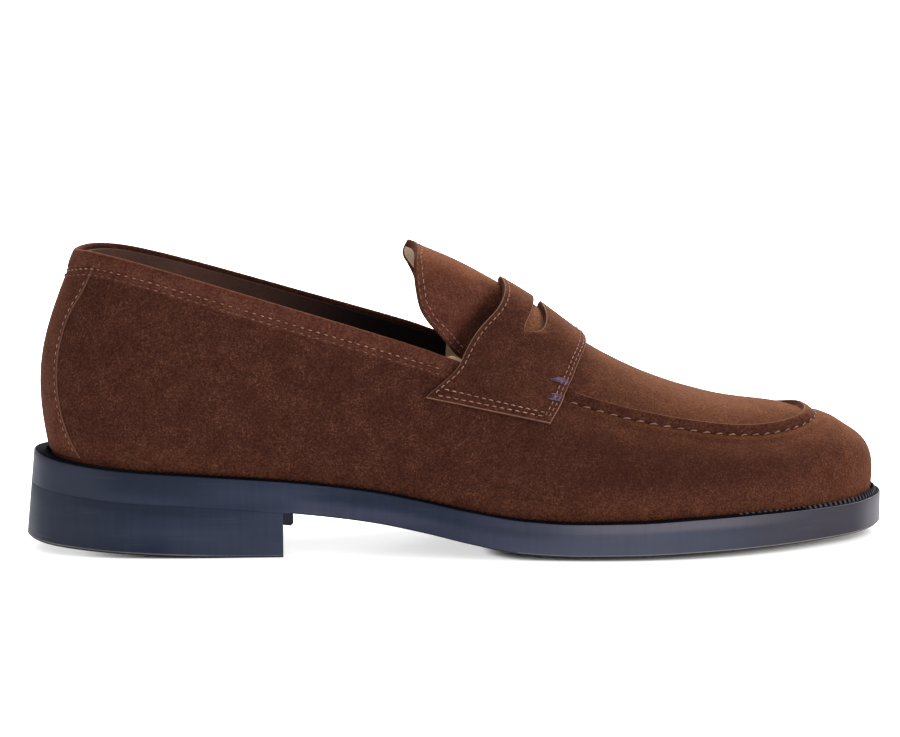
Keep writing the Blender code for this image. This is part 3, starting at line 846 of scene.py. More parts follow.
def welt_height(n, forward):
    """Height of the welt's top at a place along the shoe, in metres."""
    share = n.math("MULTIPLY_ADD", forward, 1 / (SHOE_LENGTH * MM), 0.5)
    tall = n.ramp(share, *[(x / SHOE_LENGTH, (z / TALLEST,) * 3) for x, z in SOLE[:, :2]])
    return n.math("MULTIPLY", tall, TALLEST * MM)


def rub_and_paint_light(n, colour, value):
    """Colour of the sole's side with its rubbed places, painted light and reflection, and fine scratches."""
    forward, high = n.place()
    depth = n.math("SUBTRACT", welt_height(n, forward), high)
    uneven = n.grey(value, 0.6, 1.0)
    for x_stops, depth_stops, share, tone in RUBS_AND_PAINTED_LIGHT:
        along = n.window(forward, [(x - SHOE_LENGTH / 2) * MM for x in x_stops])
        down = n.window(depth, [d * MM for d in depth_stops])
        colour = n.mix(n.product(along, down, uneven, share), colour, tone)
    scratches = n.grey(n.noise(1.1, 2.0, 0.6, stretch=(0.05, 0.05, 1.0)), 0.0, 0.12, 0.60, 0.74)
    return n.mix(scratches, colour, SCRATCH)


def rubber(name, dark, light, roughness, rubbed_and_lit=False, shine=0.08):
    """Satin rubber with faint streaks, which may carry the sole's rubbed places and painted light."""
    n = Nodes(name, roughness, Specular_IOR_Level=shine)
    cloud = n.noise(30, 3.0, 0.5, stretch=(1.0, 1.0, 0.6))
    streak = n.noise(2.2, 2.0, 0.6, stretch=(1.0, 1.0, 0.12))
    fine = n.noise(0.5, 2.0)
    bands = n.noise(7, 1.0, 0.5, stretch=(0.07, 0.07, 1.0))
    value = n.weighted((cloud, 0.42), (streak, 0.16), (bands, 0.42))
    colour = n.ramp(value, (0.38, dark), (0.62, light))
    # Rubbed places with painted light and reflection on the sole's side.
    if rubbed_and_lit:
        colour = rub_and_paint_light(n, colour, value)
    normal = n.bump(fine, 0.05, 0.3)
    normal = n.bump(streak, 0.06, 0.2, normal)
    return n.finish(colour, normal, n.grey(cloud, roughness - 0.07, roughness + 0.1))


STUD_PITCH = 7.0
STUD_EDGE = (0.2, 0.42)
STUD_HIGH = 0.9


def studded(name, dark, light, roughness):
    """Rubber with a field of small round studs."""
    n = Nodes(name, roughness, Specular_IOR_Level=0.08)
    turn = 2 * np.pi / (STUD_PITCH * MM)
    waves = [n.math("SINE", n.product(place, turn)) for place in n.place("XY")]
    studs = n.grey(n.product(*waves), 0.0, 1.0, *STUD_EDGE)
    fine = n.noise(0.5, 2.0)
    colour = n.mix(studs, dark, n.ramp(n.noise(12, 3.0), (0.38, dark), (0.62, light)))
    normal = n.bump(studs, STUD_HIGH, 1.0, n.bump(fine, 0.05, 0.3))
    return n.finish(colour, normal, n.grey(fine, roughness - 0.06, roughness + 0.06))


def thread(name, dark, light):
    n = Nodes(name, 0.8, Specular_IOR_Level=0.1)
    strands = n.noise(0.35, 2.0)
    along_row = n.noise(9, 2.0)
    colour = n.ramp(n.weighted((along_row, 0.5), (strands, 0.5)), (0.35, dark), (0.65, light))
    return n.finish(colour, n.bump(strands, 0.1, 0.6))


SUEDE = suede("suede_upper")
SUEDE_OVERLAY = suede("suede_overlay", tone=1.02, sheen=0.06, lit_from=(0.57, 1.0))
# Lighter copy of the suede for the collar band: painted light where the band leans up.
SUEDE_BAND_PAINTED_LIGHT = suede("suede_collar_band_painted_light", tone=1.5)
# Lighter copy of the suede for the tongue: painted light where it faces up, with painted top light that
# starts on flatter slopes.
SUEDE_TONGUE_PAINTED_LIGHT = suede("suede_tongue_painted_light", tone=1.6, lit_from=(0.42, 0.88))
# Much lighter copy of the suede for the plug under the strap's slot: painted light that falls in through the
# slot.
SUEDE_SLOT_PAINTED_LIGHT = suede("suede_slot_painted_light", tone=(2.7, 3.2, 2.6))
# Strap's cut edges: the raw edge's lighter colour with a painted edge highlight.
CUT_EDGE_AND_HIGHLIGHT = smooth_leather("suede_cut_edge_and_highlight", (0.080, 0.036, 0.022), (0.210, 0.112, 0.070), 0.9, 0.6)
SUEDE_STRIP = suede("suede_back_strip", tone=1.3, sheen=0.06)
# Back strip's edges: the raw edge's colour with a painted edge highlight.
STRIP_EDGE_AND_HIGHLIGHT = smooth_leather("suede_strip_edge_and_highlight", (0.056, 0.022, 0.014), (0.130, 0.060, 0.038), 0.9, 0.6)
# Quarter lining, dark brown, with painted shade that darkens it towards the throat.
DARK_LINING = smooth_leather(
    "quarter_lining", (0.052, 0.025, 0.020), (0.090, 0.046, 0.037), 0.88, painted_shade=True
)
TAN_LINING = smooth_leather("tan_lining", (0.55, 0.38, 0.25), (0.72, 0.53, 0.37), 0.6, 0.8)
TAB_LEATHER = smooth_leather("throat_tab", (0.30, 0.19, 0.105), (0.46, 0.31, 0.18), 0.6, 0.8)
SOLE_RUBBER = rubber("sole_rubber", (0.0084, 0.0132, 0.027), (0.0212, 0.0275, 0.050), 0.52, rubbed_and_lit=True)
# Painted highlight along the lower edge of the sole's side.
SOLE_EDGE_HIGHLIGHT = rubber("sole_edge_painted_highlight", (0.055, 0.053, 0.058), (0.150, 0.142, 0.140), 0.5)
TREAD = rubber("sole_tread", (0.006, 0.007, 0.010), (0.013, 0.014, 0.019), 0.6)
STUDS = studded("sole_studs", (0.004, 0.005, 0.007), (0.017, 0.018, 0.024), 0.6)
WELT = rubber("welt_edge", (0.0084, 0.0126, 0.026), (0.0215, 0.0262, 0.048), 0.52, rubbed_and_lit=True)
# Welt's top by the upper, nearly black: its own dark wheeled finish with painted shade in the crevice.
WHEELING_AND_SHADE = rubber("welt_wheeling_painted_shade", (0.0014, 0.0014, 0.0026), (0.005, 0.005, 0.0085), 0.85, shine=0.02)
# Painted highlight along the welt's rounded rim.
WELT_RIM_HIGHLIGHT = rubber("welt_rim_painted_highlight", (0.030, 0.031, 0.042), (0.125, 0.122, 0.138), 0.45)
# Painted highlight on the crowns of the welt's beads.
BEAD_TOP_HIGHLIGHT = rubber("welt_bead_painted_highlight", (0.014, 0.015, 0.022), (0.070, 0.072, 0.088), 0.45)
PALE_THREAD = thread("pale_thread", (0.105, 0.048, 0.037), (0.31, 0.170, 0.132))
DULL_THREAD = thread("dull_thread", (0.070, 0.029, 0.022), (0.180, 0.090, 0.069))
APRON_THREAD = thread("apron_thread", (0.085, 0.046, 0.041), (0.230, 0.140, 0.126))
TACK_THREAD = thread("bar_tack_thread", (0.032, 0.020, 0.042), (0.175, 0.120, 0.200))
# Crest of the apron seam: the raw edge's lighter colour with a painted highlight along it.
SEAM_EDGE_AND_HIGHLIGHT = smooth_leather("suede_seam_edge_and_highlight", (0.085, 0.034, 0.017), (0.19, 0.088, 0.045), 0.9, 0.6)


# Upper

SUEDE_WALL = 1.1
SEAM_STEPS = 1200
SEAM_ROWS = np.linspace(SEAM_START_ROW, 2 * TOE_ROW - SEAM_START_ROW, SEAM_STEPS)
SEAM_RUN = run_length(last_surface(SEAM_ROWS, 1.0))
APRON_PITCH = 4.7
APRON_STITCHES = int(SEAM_RUN[-1] / APRON_PITCH)
COLLAR_ROWS = (1.25, 3.55)
CREST = 3.1
CREST_WIDER = 2.4
CREST_EDGE = 0.7
CREST_ROUND = 0.2
SEAM_ROUNDNESS = 0.85
# Groove and swells along the apron seam: plain height, height that comes and goes with the stitches,
# millimetres above the stitch line, and width.
SEAM_FORMS = (
    (-0.32, -0.25, 0.0, 0.9),
    (0.0, -0.12, 1.5, 0.9),
    (0.2, 0.0, -2.6, 1.4),
)
SEAM_FORWARD = 1.6
SEAM_TURN = (10.8, 13.0)
TOE_SWELL = 1.2
TOE_SWELL_ROWS = (11.2, 12.7)
TOE_SWELL_DOWN = 5.4
TOE_SWELL_WIDE = 7.0
BAND_STEP_BACK = 1.0
BAND_STEP_ROWS = (1.0, 2.5)
BAND_END_FADE = 0.25
BAND_FOOT_START = 0.25
BAND_BULGE = 0.3
# Dents under the collar stitches and the ridge between them: height and width.
COLLAR_DENT = (-0.16, 0.55)
COLLAR_RIDGE = (0.12, 0.7)
# Half width of the crest's painted highlight band, in millimetres.
CREST_LINE = 0.2
TOPLINE_HEM = 2.0
# Millimetres below the band that its painted light still reaches, over the collar stitches.
LIT_BAND_REACH = 4.3
THREAD_LIFT = 0.05


def seam_run(place):
    """Millimetres along the apron seam, from the outer throat round the toe to the inner one."""
    return np.interp(np.where(place < 0, 2 * TOE_ROW + place, place), SEAM_ROWS, SEAM_RUN)


def pucker(place):
    """1 in the middle of each apron stitch and 0 between stitches."""
    return 0.5 - 0.5 * np.cos(2 * np.pi * seam_run(place) * APRON_STITCHES / SEAM_RUN[-1])


# Soft creases of the upper: ends as place and t, half width in millimetres and height above the last.
CREASES = (
    ((-7.3, 0.62), (-7.9, 0.34), 5.0, -0.35),
    ((-7.6, 0.66), (-8.3, 0.40), 4.5, 0.25),
    ((-6.6, 0.50), (-7.2, 0.22), 6.0, -0.30),
    ((7.4, 0.60), (8.0, 0.34), 5.0, -0.35),
    ((6.7, 0.48), (7.2, 0.22), 6.0, -0.28),
    ((-3.4, 0.35), (-4.6, 0.55), 9.0, -0.30),
    ((3.4, 0.40), (4.5, 0.55), 9.0, -0.30),
)


def creases(points):
    """Height of the creases at points of the last."""
    total = np.zeros(points.shape[:-1])
    for first, last, width, height in CREASES:
        a, b = last_surface(*first), last_surface(*last)
        f = np.clip(((points - a) @ (b - a)) / np.dot(b - a, b - a), 0, 1)
        total += height * hump(apart(points, a + f[..., None] * (b - a)), 0.0, width)
    return total


def seam_shift(place):
    """Millimetres that the apron's stitch line lies below the edge of the last, round the toe."""
    return SEAM_FORWARD * ramp(abs(place), *SEAM_TURN)


def crest_at(place):
    """Millimetres from the stitch line up to the seam's crest."""
    return CREST + CREST_WIDER * ramp(abs(place), *SEAM_TURN)


def seam_lift(place, s):
    """Height of the raised apron seam, s millimetres above its stitch line."""
    crest = crest_at(place)
    rise = np.sin(np.pi / 2 * np.clip(s / (crest - CREST_ROUND), 0, 1)) ** SEAM_ROUNDNESS
    lift = SEAM_HIGH * rise * (1 - ramp(s, crest, crest + CREST_EDGE))
    for plain, puckered, middle, width in SEAM_FORMS:
        lift += (plain + puckered * pucker(place)) * hump(s, middle, width)
    return lift * ramp(abs(place), SEAM_START_ROW, SEAM_FULL_ROW)


def toe_swell(place, s):
    """Height of the vamp's swell round the toe, s millimetres above the apron's stitch line."""
    return TOE_SWELL * ramp(abs(place), *TOE_SWELL_ROWS) * hump(s, -TOE_SWELL_DOWN, TOE_SWELL_WIDE)


def apron_lift(place, above):
    """Height of seam and swell over the last, above the apron edge by so many millimetres."""
    s = seam_shift(place) + above
    return seam_lift(place, s) + toe_swell(place, s)


def band_step(place):
    """Height of the collar band, which laps over the back strip."""
    return BAND_STEP + (BAND_STEP_BACK - BAND_STEP) * (1 - ramp(abs(place), *BAND_STEP_ROWS))


def low_lift(place, below):
    """Height of the outer face over the last, below the edge by so many millimetres."""
    deep = band_deep(place)
    lift = band_step(place) * (1 - ramp(below, deep - BAND_FOOT_START, deep * BAND_FOOT))
    lift += BAND_BULGE * np.sin(np.pi * np.clip(below / deep, 0, 1))
    for row in COLLAR_ROWS:
        lift += COLLAR_DENT[0] * hump(below, deep + row, COLLAR_DENT[1])
    lift += COLLAR_RIDGE[0] * hump(below, deep + sum(COLLAR_ROWS) / 2, COLLAR_RIDGE[1])
    collar = 1 - ramp(abs(place), BAND_END_ROW - BAND_END_FADE, BAND_END_ROW)
    return lift * collar + apron_lift(place, -below)


def edge_roll(place, below, lift):
    """Outer and inner heights where the wall rolls over at the free topline."""
    free = abs(place) < THROAT_ROW - TINY
    middle = (lift - SUEDE_WALL) / 2
    round_off = rounded(below, (lift + SUEDE_WALL) / 2)
    return np.where(free, middle + round_off, lift), np.where(free, middle - round_off, -SUEDE_WALL)


# Grid of the upper: rows of one side, and millimetres below and above the edge, close where it is shaped.
UPPER_ROWS = np.concatenate([
    np.arange(0, 6.4, 0.08), np.arange(6.4, 7.2, 0.05), [THROAT_ROW], np.arange(7.3, 7.8, 0.05),
    np.arange(7.8, 10, 0.02), np.arange(10, TOE_ROW, 0.03), [TOE_ROW],
])
BELOW_EDGE = np.concatenate([
    [13.0, 11.5, 10.3], np.arange(9.4, 3.9, -0.46), [3.4, 2.8, 2.2, 1.7, 1.25, 0.9, 0.6, 0.35, 0.15, 0.0],
])
ABOVE_EDGE = np.array([
    0.0, 0.2, 0.45, 0.75, 1.1, 1.5, 1.9, 2.3, 2.6, 2.8,
    2.95, 3.1, 3.25, 3.4, 3.55, 3.7, 3.95, 4.4, 5.2, 6.5,
])
WALL_STEPS = 18
PLUG_STEPS = 13
# Creases fade out towards the edge, by millimetres below it, and towards the welt, by t.
CREASE_EDGE_FADE = (3, 9)
CREASE_WELT_FADE = (0, 0.12)
# t above which the plug under the strap takes the painted light of the slot.
SLOT_LIGHT_T = 1.3


def make_upper():
    shell = Shell()

    def low_block(places):
        place = places[:, None]
        speed = rib_speed(place, -1)
        near = 1 - BELOW_EDGE[None, :] / speed
        far = near[:, :1] * np.linspace(0, 1, WALL_STEPS)[None, :-1]
        t = np.concatenate([far, near], 1)
        below = (1 - t) * speed
        fade = ramp(below, *CREASE_EDGE_FADE) * ramp(t, *CREASE_WELT_FADE)
        lift = low_lift(place, below) + creases(last_surface(place, t)) * fade
        outer, inner = edge_roll(place, below, lift)
        hem = (below[1:, 1:] < TOPLINE_HEM) & (abs(place[1:]) < THROAT_ROW)
        # The collar band and its stitch rows take the lighter copy of the suede, painted light.
        band = (below[1:, 1:] < band_deep(place[1:]) + LIT_BAND_REACH) & (abs(place[1:]) < BAND_END_ROW)
        shell.grid(
            skin(place, t, outer), skin(place, t, inner),
            outer_kind=np.where(band, LIT_BAND_KIND, OUTER), inner_kind=np.where(hem, OUTER, INNER),
        )

    def high_block(places):
        place = places[:, None]
        speed = rib_speed(place, 1)
        above = ABOVE_EDGE[None, :] * (crest_at(place) - seam_shift(place)) / CREST
        near = 1 + above / speed
        far = near[:, -1:] + (2 - near[:, -1:]) * np.linspace(0, 1, PLUG_STEPS)[None, 1:]
        t = np.concatenate([near, far], 1)
        above = (t - 1) * speed
        middle = (above[1:, 1:] + above[:-1, :-1]) / 2 + seam_shift(place[1:]) - crest_at(place[1:])
        # A thin band along the crest takes the seam edge's colour, raw edge with painted highlight.
        on_crest = (abs(middle) < CREST_LINE) & (abs(place[1:]) > SEAM_FULL_ROW)
        kinds = np.where(on_crest, EDGE_HIGHLIGHT_KIND, OUTER)
        # Painted light on the plug under the strap's slot.
        kinds = np.where((abs(place[1:]) < SEAM_START_ROW) & (t[1:, 1:] > SLOT_LIGHT_T), SLOT_LIGHT_KIND, kinds)
        shell.grid(skin(place, t, apron_lift(place, above)), skin(place, t, -SUEDE_WALL), outer_kind=kinds)

    low_block(both_sides(UPPER_ROWS))
    front = UPPER_ROWS[UPPER_ROWS >= THROAT_ROW - TINY]
    high_block(-front[::-1])
    high_block(front)
    return shell.make("upper", [SUEDE, DARK_LINING, SUEDE, SEAM_EDGE_AND_HIGHLIGHT, SUEDE_BAND_PAINTED_LIGHT, SUEDE_SLOT_PAINTED_LIGHT])


upper = make_upper()


COLLAR_STEP = 0.04
COLLAR_THREAD_LIFT = 0.1
COLLAR_PITCH = 2.8
COLLAR_LONG = 1.35


def collar_stitches():
    place = both_sides(np.arange(0, BAND_END_ROW - COLLAR_STEP, COLLAR_STEP))
    rows = []
    for row in COLLAR_ROWS:
        below = band_deep(place) + row
        t = t_below(place, below)
        on_strip = (abs(place) < strip_reach(t)) * BACK_STRIP_LIFT
        points = skin(place, t, np.maximum(low_lift(place, below), on_strip) + COLLAR_THREAD_LIFT)
        rows.append(stitch_row(points, last_normal(place, t), COLLAR_PITCH, COLLAR_LONG))
    return make_threads("collar_stitches", rows, [PALE_THREAD, DULL_THREAD])


# Apron stitches: rows past the seam's full start, share of the groove's depth, room at the ends,
# half length, how much it varies and how fast, and slant to each side.
APRON_PAST = 0.06
APRON_IN_GROOVE = 0.4
APRON_ROOM = 1.5
APRON_HALF = 1.45
APRON_VARIES = 0.15
APRON_WAVE = 7.3
APRON_SLANT = 0.25


def apron_stitches():
    first = SEAM_FULL_ROW - APRON_PAST
    place = np.linspace(first, 2 * TOE_ROW - first, SEAM_STEPS)
    wrapped = np.where(place > TOE_ROW, place - 2 * TOE_ROW, place)
    t = t_below(wrapped, seam_shift(wrapped))
    on_line = 0 * place
    lift = seam_lift(wrapped, on_line) * APRON_IN_GROOVE + toe_swell(wrapped, on_line) + THREAD_LIFT
    points = skin(wrapped, t, lift)
    middles = (np.arange(APRON_STITCHES) + 0.5) * SEAM_RUN[-1] / APRON_STITCHES - seam_run(first)
    middles = middles[(middles > APRON_ROOM) & (middles < run_length(points)[-1] - APRON_ROOM)]
    half = APRON_HALF + APRON_VARIES * np.sin(APRON_WAVE * middles)
    row = stitches_at(middles, half, points, last_normal(wrapped, t), APRON_SLANT)
    return make_threads("apron_stitches", [row], [APRON_THREAD], radius=0.25, rise=0.2, sink=0.2)


# Linings

QUARTER_END = 6.9
QUARTER_STEPS = (181, 24)
LINING_DROP = 1.7
LINING_GAP = 0.05
# Tab of the vamp lining behind the strap on the outer side: rows, height above the topline, depth, thickness.
TAB_ROWS = (-6.66, -6.82, -6.95)
TAB_HIGH = 2.6
TAB_DEEP = 6.0
TAB_THICK = 0.65
TAB_STEPS = (30, 9)


def line_wall(shell, place, t):
    shell.grid(skin(place, t, -SUEDE_WALL - LINING_GAP), skin(place, t, -WALL))


def make_quarter_lining():
    """Thin dark lining inside the quarters, from the insole to just under the rolled topline."""
    place = np.linspace(-QUARTER_END, QUARTER_END, QUARTER_STEPS[0])[:, None]
    shell = Shell()
    up = np.linspace(0.0, 1.0, QUARTER_STEPS[1])[None, :]
    line_wall(shell, place, up * t_below(place, LINING_DROP))
    return shell.make("quarter_lining", [DARK_LINING] * 3)


quarter_lining = make_quarter_lining()


# Rows of the vamp lining on one side, behind the throat and ahead of it.
VAMP_BACK_ROWS = np.linspace(QUARTER_END + 0.01, THROAT_ROW, 8)[:-1]
VAMP_FRONT_ROWS = np.arange(THROAT_ROW, TOE_ROW + 0.01, 0.125)
VAMP_LOW_STEPS = 22
VAMP_HIGH_STEPS = 12


def make_vamp_lining():
    """Tan lining inside the vamp and the plug, with a tab that shows behind the strap."""
    shell = Shell()
    side = np.concatenate([VAMP_BACK_ROWS, VAMP_FRONT_ROWS])[:, None]
    for sign in (-1, 1):
        place = sign * side
        top = np.where(side < THROAT_ROW - TINY, t_below(place, LINING_DROP), 1.0)
        line_wall(shell, place, np.linspace(0.0, 1.0, VAMP_LOW_STEPS)[None, :] * top)
        line_wall(shell, sign * VAMP_FRONT_ROWS[:, None], np.linspace(1, 2, VAMP_HIGH_STEPS)[None, :])
    place = np.linspace(TAB_ROWS[0], TAB_ROWS[-1], TAB_STEPS[0])[:, None]
    high = (TAB_HIGH + LINING_DROP) * ramp(-place, -TAB_ROWS[0], -TAB_ROWS[1]) - LINING_DROP
    t = t_below(place, (high + TAB_DEEP) * np.linspace(1, 0, TAB_STEPS[1])[None, :] - high)
    shell.grid(
        skin(place, t, -WALL - LINING_GAP), skin(place, t, -WALL - LINING_GAP - TAB_THICK),
        outer_kind=RIM, inner_kind=RIM,
    )
    return shell.make("vamp_lining", [TAN_LINING, TAN_LINING, TAB_LEATHER])


vamp_lining = make_vamp_lining()

# Saddle strap


def side_of(v):
    return np.where(v < 0, -1.0, 1.0)


def strap_spot(v, across):
    """Place and t on the strap: v from -1 to 1 over the instep, across from its back to its front edge."""
    lowest = STRAP[0, 0] + STRAP_DROP * across
    t = 2 - abs(v) * (2 - lowest)
    return side_of(v) * (strap_back(t) + (strap_front(t) - strap_back(t)) * across), t


# Grid of the strap: shares of the way behind and ahead of the slot, and rows near its ends.
STRAP_BEHIND = (0, 0.035, 0.08, 0.14, 0.22, 0.40, 0.60, 0.78, 0.86, 0.92, 0.965, 1)
STRAP_AHEAD = (0, 0.02, 0.05, 0.09, 0.14, 0.28, 0.42, 0.56, 0.70, 0.86, 0.91, 0.95, 0.98, 1)
STRAP_END_ROWS = (0.965, 0.976, 0.986, 0.994, 1.0)
STRAP_PLAIN_END = 0.95
SLOT_STEPS = 13
STRAP_STEPS = 23
# The strap's size for measures across it, its thickness at the edges by share of the way down, and how
# far in from an edge it is full.
STRAP_WIDE = 30.0
STRAP_LONG = 62.0
STRAP_EDGE = 1.0
STRAP_EDGE_TOP = 2.0
STRAP_EDGE_FROM = (0.1, 0.6)
STRAP_EASE = 1.8
STRAP_ROUND = 0.45
# Past the slot its two edges run on as lines of the grid, to these shares of the way across.
PAST_SLOT = 0.8
PAST_BACK = 0.33
PAST_FRONT = 0.51
SLOT_FRONT_SLANT = 0.6


def make_strap():
    half = np.concatenate([
        np.linspace(0, SLOT_SHARE, SLOT_STEPS),
        np.linspace(SLOT_SHARE, STRAP_PLAIN_END, STRAP_STEPS)[1:],
        STRAP_END_ROWS,
    ])
    v = both_sides(half)[:, None]
    down = abs(v)
    slot_part = np.clip(down / SLOT_SHARE, 0, 1)
    past = ramp(down, SLOT_SHARE, PAST_SLOT)
    back = profile(SLOT, 1)(slot_part) * (1 - past) + PAST_BACK * past
    front = profile(SLOT, 2)(slot_part) * (1 - past) + PAST_FRONT * past
    across = np.concatenate([back * np.array(STRAP_BEHIND), front + (1 - front) * np.array(STRAP_AHEAD)], 1)
    near_end = np.clip(1 - abs(down - SLOT_SHARE) / SLOT_SHARE, 0, 1)
    slants = (0, SLOT_SLANT, -SLOT_SLANT * SLOT_FRONT_SLANT, 0)
    slant = np.interp(across, (0, SLOT[-1, 1], SLOT[-1, 2], 1), slants)
    place, t = strap_spot(v + side_of(v) * near_end * slant, across)
    in_slot = np.arange(across.shape[1] - 1) == len(STRAP_BEHIND) - 1
    hole = (abs(v[1:] + v[:-1]) / 2 < SLOT_SHARE) & in_slot[None, :]
    past_slot = np.clip(down - SLOT_SHARE, 0, 1) * STRAP_LONG
    to_slot = np.hypot(np.maximum(np.maximum(back - across, across - front), 0) * STRAP_WIDE, past_slot)
    to_side = np.minimum(across, 1 - across) * STRAP_WIDE
    to_edge = np.minimum(np.minimum(to_side, (1 - down) * STRAP_LONG), to_slot)
    edge = STRAP_EDGE_TOP + (STRAP_EDGE - STRAP_EDGE_TOP) * ramp(down, *STRAP_EDGE_FROM)
    thick = edge + (STRAP_THICK - edge) * ramp(to_edge, 0, STRAP_EASE)
    shell = Shell()
    shell.grid(skin(place, t, FIT_GAP + thick), skin(place, t, FIT_GAP), hole)
    materials = [SUEDE_OVERLAY, TAN_LINING, SUEDE_OVERLAY, CUT_EDGE_AND_HIGHLIGHT]
    # The strap's rounded edges take the cut edge's colour, raw edge with painted highlight.
    return shell.make("strap", materials, round_mm=STRAP_ROUND, round_kind=EDGE_HIGHLIGHT_KIND)


strap = make_strap()
strap_ground = Ground(strap)


def strap_point(v, across):
    """Point of the last under the strap."""
    return skin(*strap_spot(np.atleast_1d(v), np.atleast_1d(across)))


def strap_row(v, across):
    """Points and normals on the strap for threads to lie on."""
    points, normals = strap_ground.press(skin(*strap_spot(v, across), FIT_GAP + STRAP_THICK))
    return points + normals * THREAD_LIFT, normals


# Strap stitches: share of the strap that the long rows run down and the end rows run across, millimetres
# in from the back edge, the front edge and the ends, and how much nearer the end row comes at the front.
LONG_ROWS = 0.97
END_ROWS = (0.07, 0.93)
BACK_INSET = 1.8
FRONT_INSETS = (1.3, 2.8)
END_INSETS = ((1.6, 0.0), (4.6, -1.6))
STRAP_LINE_STEPS = 400
STRAP_END_STEPS = 200
# Short step down the strap that gives its length there in millimetres.
END_PROBE = 0.05


def strap_stitches():
    v = np.linspace(-LONG_ROWS, LONG_ROWS, STRAP_LINE_STEPS)
    width = apart(strap_point(v, np.ones_like(v)), strap_point(v, np.zeros_like(v)))
    lines = [(v, BACK_INSET / width)] + [(v, 1 - inset / width) for inset in FRONT_INSETS]
    across = np.linspace(*END_ROWS, STRAP_END_STEPS)
    for sign in (-1.0, 1.0):
        ends = sign * np.ones_like(across)
        inside = strap_point((1 - END_PROBE) * ends, across)
        speed = apart(strap_point(ends, across), inside) / END_PROBE
        lines += [(ends * (1 - (inset + lean * across) / speed), across) for inset, lean in END_INSETS]
    return make_threads("strap_stitches", [stitch_row(*strap_row(*line)) for line in lines], [PALE_THREAD])


# Bar tacks on the strap's front edge: how far down the strap, reach from the edge, and width.
TACKS = ((0.70, 5.6, 1.8), (0.83, 4.6, 2.8))
TACK_THREADS = 6
# Each thread starts near the edge, bends once and ends at its reach, leaning down the strap as it goes.
TACK_START = 0.15
TACK_BEND = 1.7
TACK_LEAN = (-0.006, -0.002, 0.006)
TACK_WOBBLE = (0.4, 0.4, 2.0)
TACK_LAP = 0.08
# Short steps down the strap and across it, and where across, that give its size at a tack in millimetres.
TACK_DOWN_PROBE = 0.02
TACK_ACROSS_PROBE = 0.2
TACK_ACROSS = 0.9


def bar_tacks():
    starts, ends, normals = [], [], []
    for sign in (-1.0, 1.0):
        for v, reach, width in TACKS:
            lower, here = (strap_point(sign * at, TACK_ACROSS) for at in (v + TACK_DOWN_PROBE, v))
            scale = apart(lower, here) / TACK_DOWN_PROBE
            front, inside = (strap_point(sign * v, across) for across in (1.0, 1 - TACK_ACROSS_PROBE))
            span = apart(front, inside) / TACK_ACROSS_PROBE
            wobble = rng.uniform(-0.5, 0.5, (3, TACK_THREADS)) * np.array(TACK_WOBBLE)[:, None]
            line = sign * (v + (np.linspace(-0.5, 0.5, TACK_THREADS) * width + wobble[0]) / scale)
            stops = (TACK_START + abs(wobble[1]), np.full(TACK_THREADS, TACK_BEND), reach + wobble[2])
            spots = [strap_row(line + sign * lean, 1 - stop / span) for lean, stop in zip(TACK_LEAN, stops)]
            for (a, _), (b, normal) in zip(spots, spots[1:]):
                starts.append(a)
                ends.append(b + (b - a) * TACK_LAP)
                normals.append(normal)
    row = [np.concatenate(part) for part in (starts, ends, normals)]
    return make_threads("bar_tacks", [row], [TACK_THREAD], radius=0.17, rise=0.24, sink=0.08)


# Tongue


def tongue_spot(row, f):
    """Place and t on the tongue: f runs from 0 at its outer edge to 1 at its inner edge."""
    reach = tongue_outer(row) + (tongue_inner(row) - tongue_outer(row)) * f
    return side_of(reach) * row, 2 - abs(reach)


# Grid of the tongue: millimetres in from its edges, and how much closer its rows lie at the tip.
TONGUE_HEM = np.array((0.0, 0.12, 0.35, 0.7, 1.15, 1.7))
HEM_FULL_SPAN = 5.0
TIP_CLOSER = 1.7
TONGUE_DROP = 8.0
DROP_ROWS = (-0.32, 0.03)
DROP_FROM_RIDGE = (0.03, 0.5)
TONGUE_TURN = 1.5
TONGUE_STEPS = (60, 36)


def tongue_row(share):
    """Row of the tongue, share of the way from its tip."""
    return TONGUE[0, 0] + (TONGUE[-1, 0] - TONGUE[0, 0]) * share**TIP_CLOSER


def tongue_lift(place, t):
    """How far the tongue's flanks drop into the throat where the strap crosses over them."""
    return -TONGUE_DROP * ramp(abs(place) - strap_back(t), *DROP_ROWS) * ramp(2 - t, *DROP_FROM_RIDGE)


def make_tongue():
    row = tongue_row(np.linspace(0, 1, TONGUE_STEPS[0]))[:, None]
    span = apart(skin(*tongue_spot(row, 1.0)), skin(*tongue_spot(row, 0.0)))
    hem = TONGUE_HEM * np.minimum(1, span / HEM_FULL_SPAN) / span
    inner_share = np.linspace(0, 1, TONGUE_STEPS[1])[None, 1:-1]
    middle = hem[:, -1:] + (1 - 2 * hem[:, -1:]) * inner_share
    f = np.concatenate([hem, middle, 1 - hem[:, ::-1]], 1)
    place, t = tongue_spot(row, f)
    flat = skin(place, t)
    from_tip = apart(flat, flat[:1].mean(1, keepdims=True))
    from_edge = np.minimum(np.minimum(f, 1 - f) * span, from_tip)
    half = TONGUE_THICK / 2
    round_off = rounded(from_edge, half)
    shell = Shell()
    base = tongue_lift(place, t) - half
    turned = np.where(from_edge[1:, 1:] < TONGUE_TURN, OUTER, INNER)
    shell.grid(skin(place, t, base + round_off), skin(place, t, base - round_off), inner_kind=turned)
    return shell.make("tongue", [SUEDE_TONGUE_PAINTED_LIGHT, TAN_LINING, SUEDE_TONGUE_PAINTED_LIGHT])


tongue = make_tongue()


def inset_line(points, middle, inset, ground):
    """Line on a piece's surface that runs inside its outline, away from it by inset."""
    _, normals = ground.press(points)
    inward = unit(np.cross(normals, np.gradient(points, axis=0)))
    towards = np.sum(inward * (middle - points), -1, keepdims=True)
    points, _ = ground.press(points + inward * np.where(towards < 0, -1, 1) * inset)
    return points


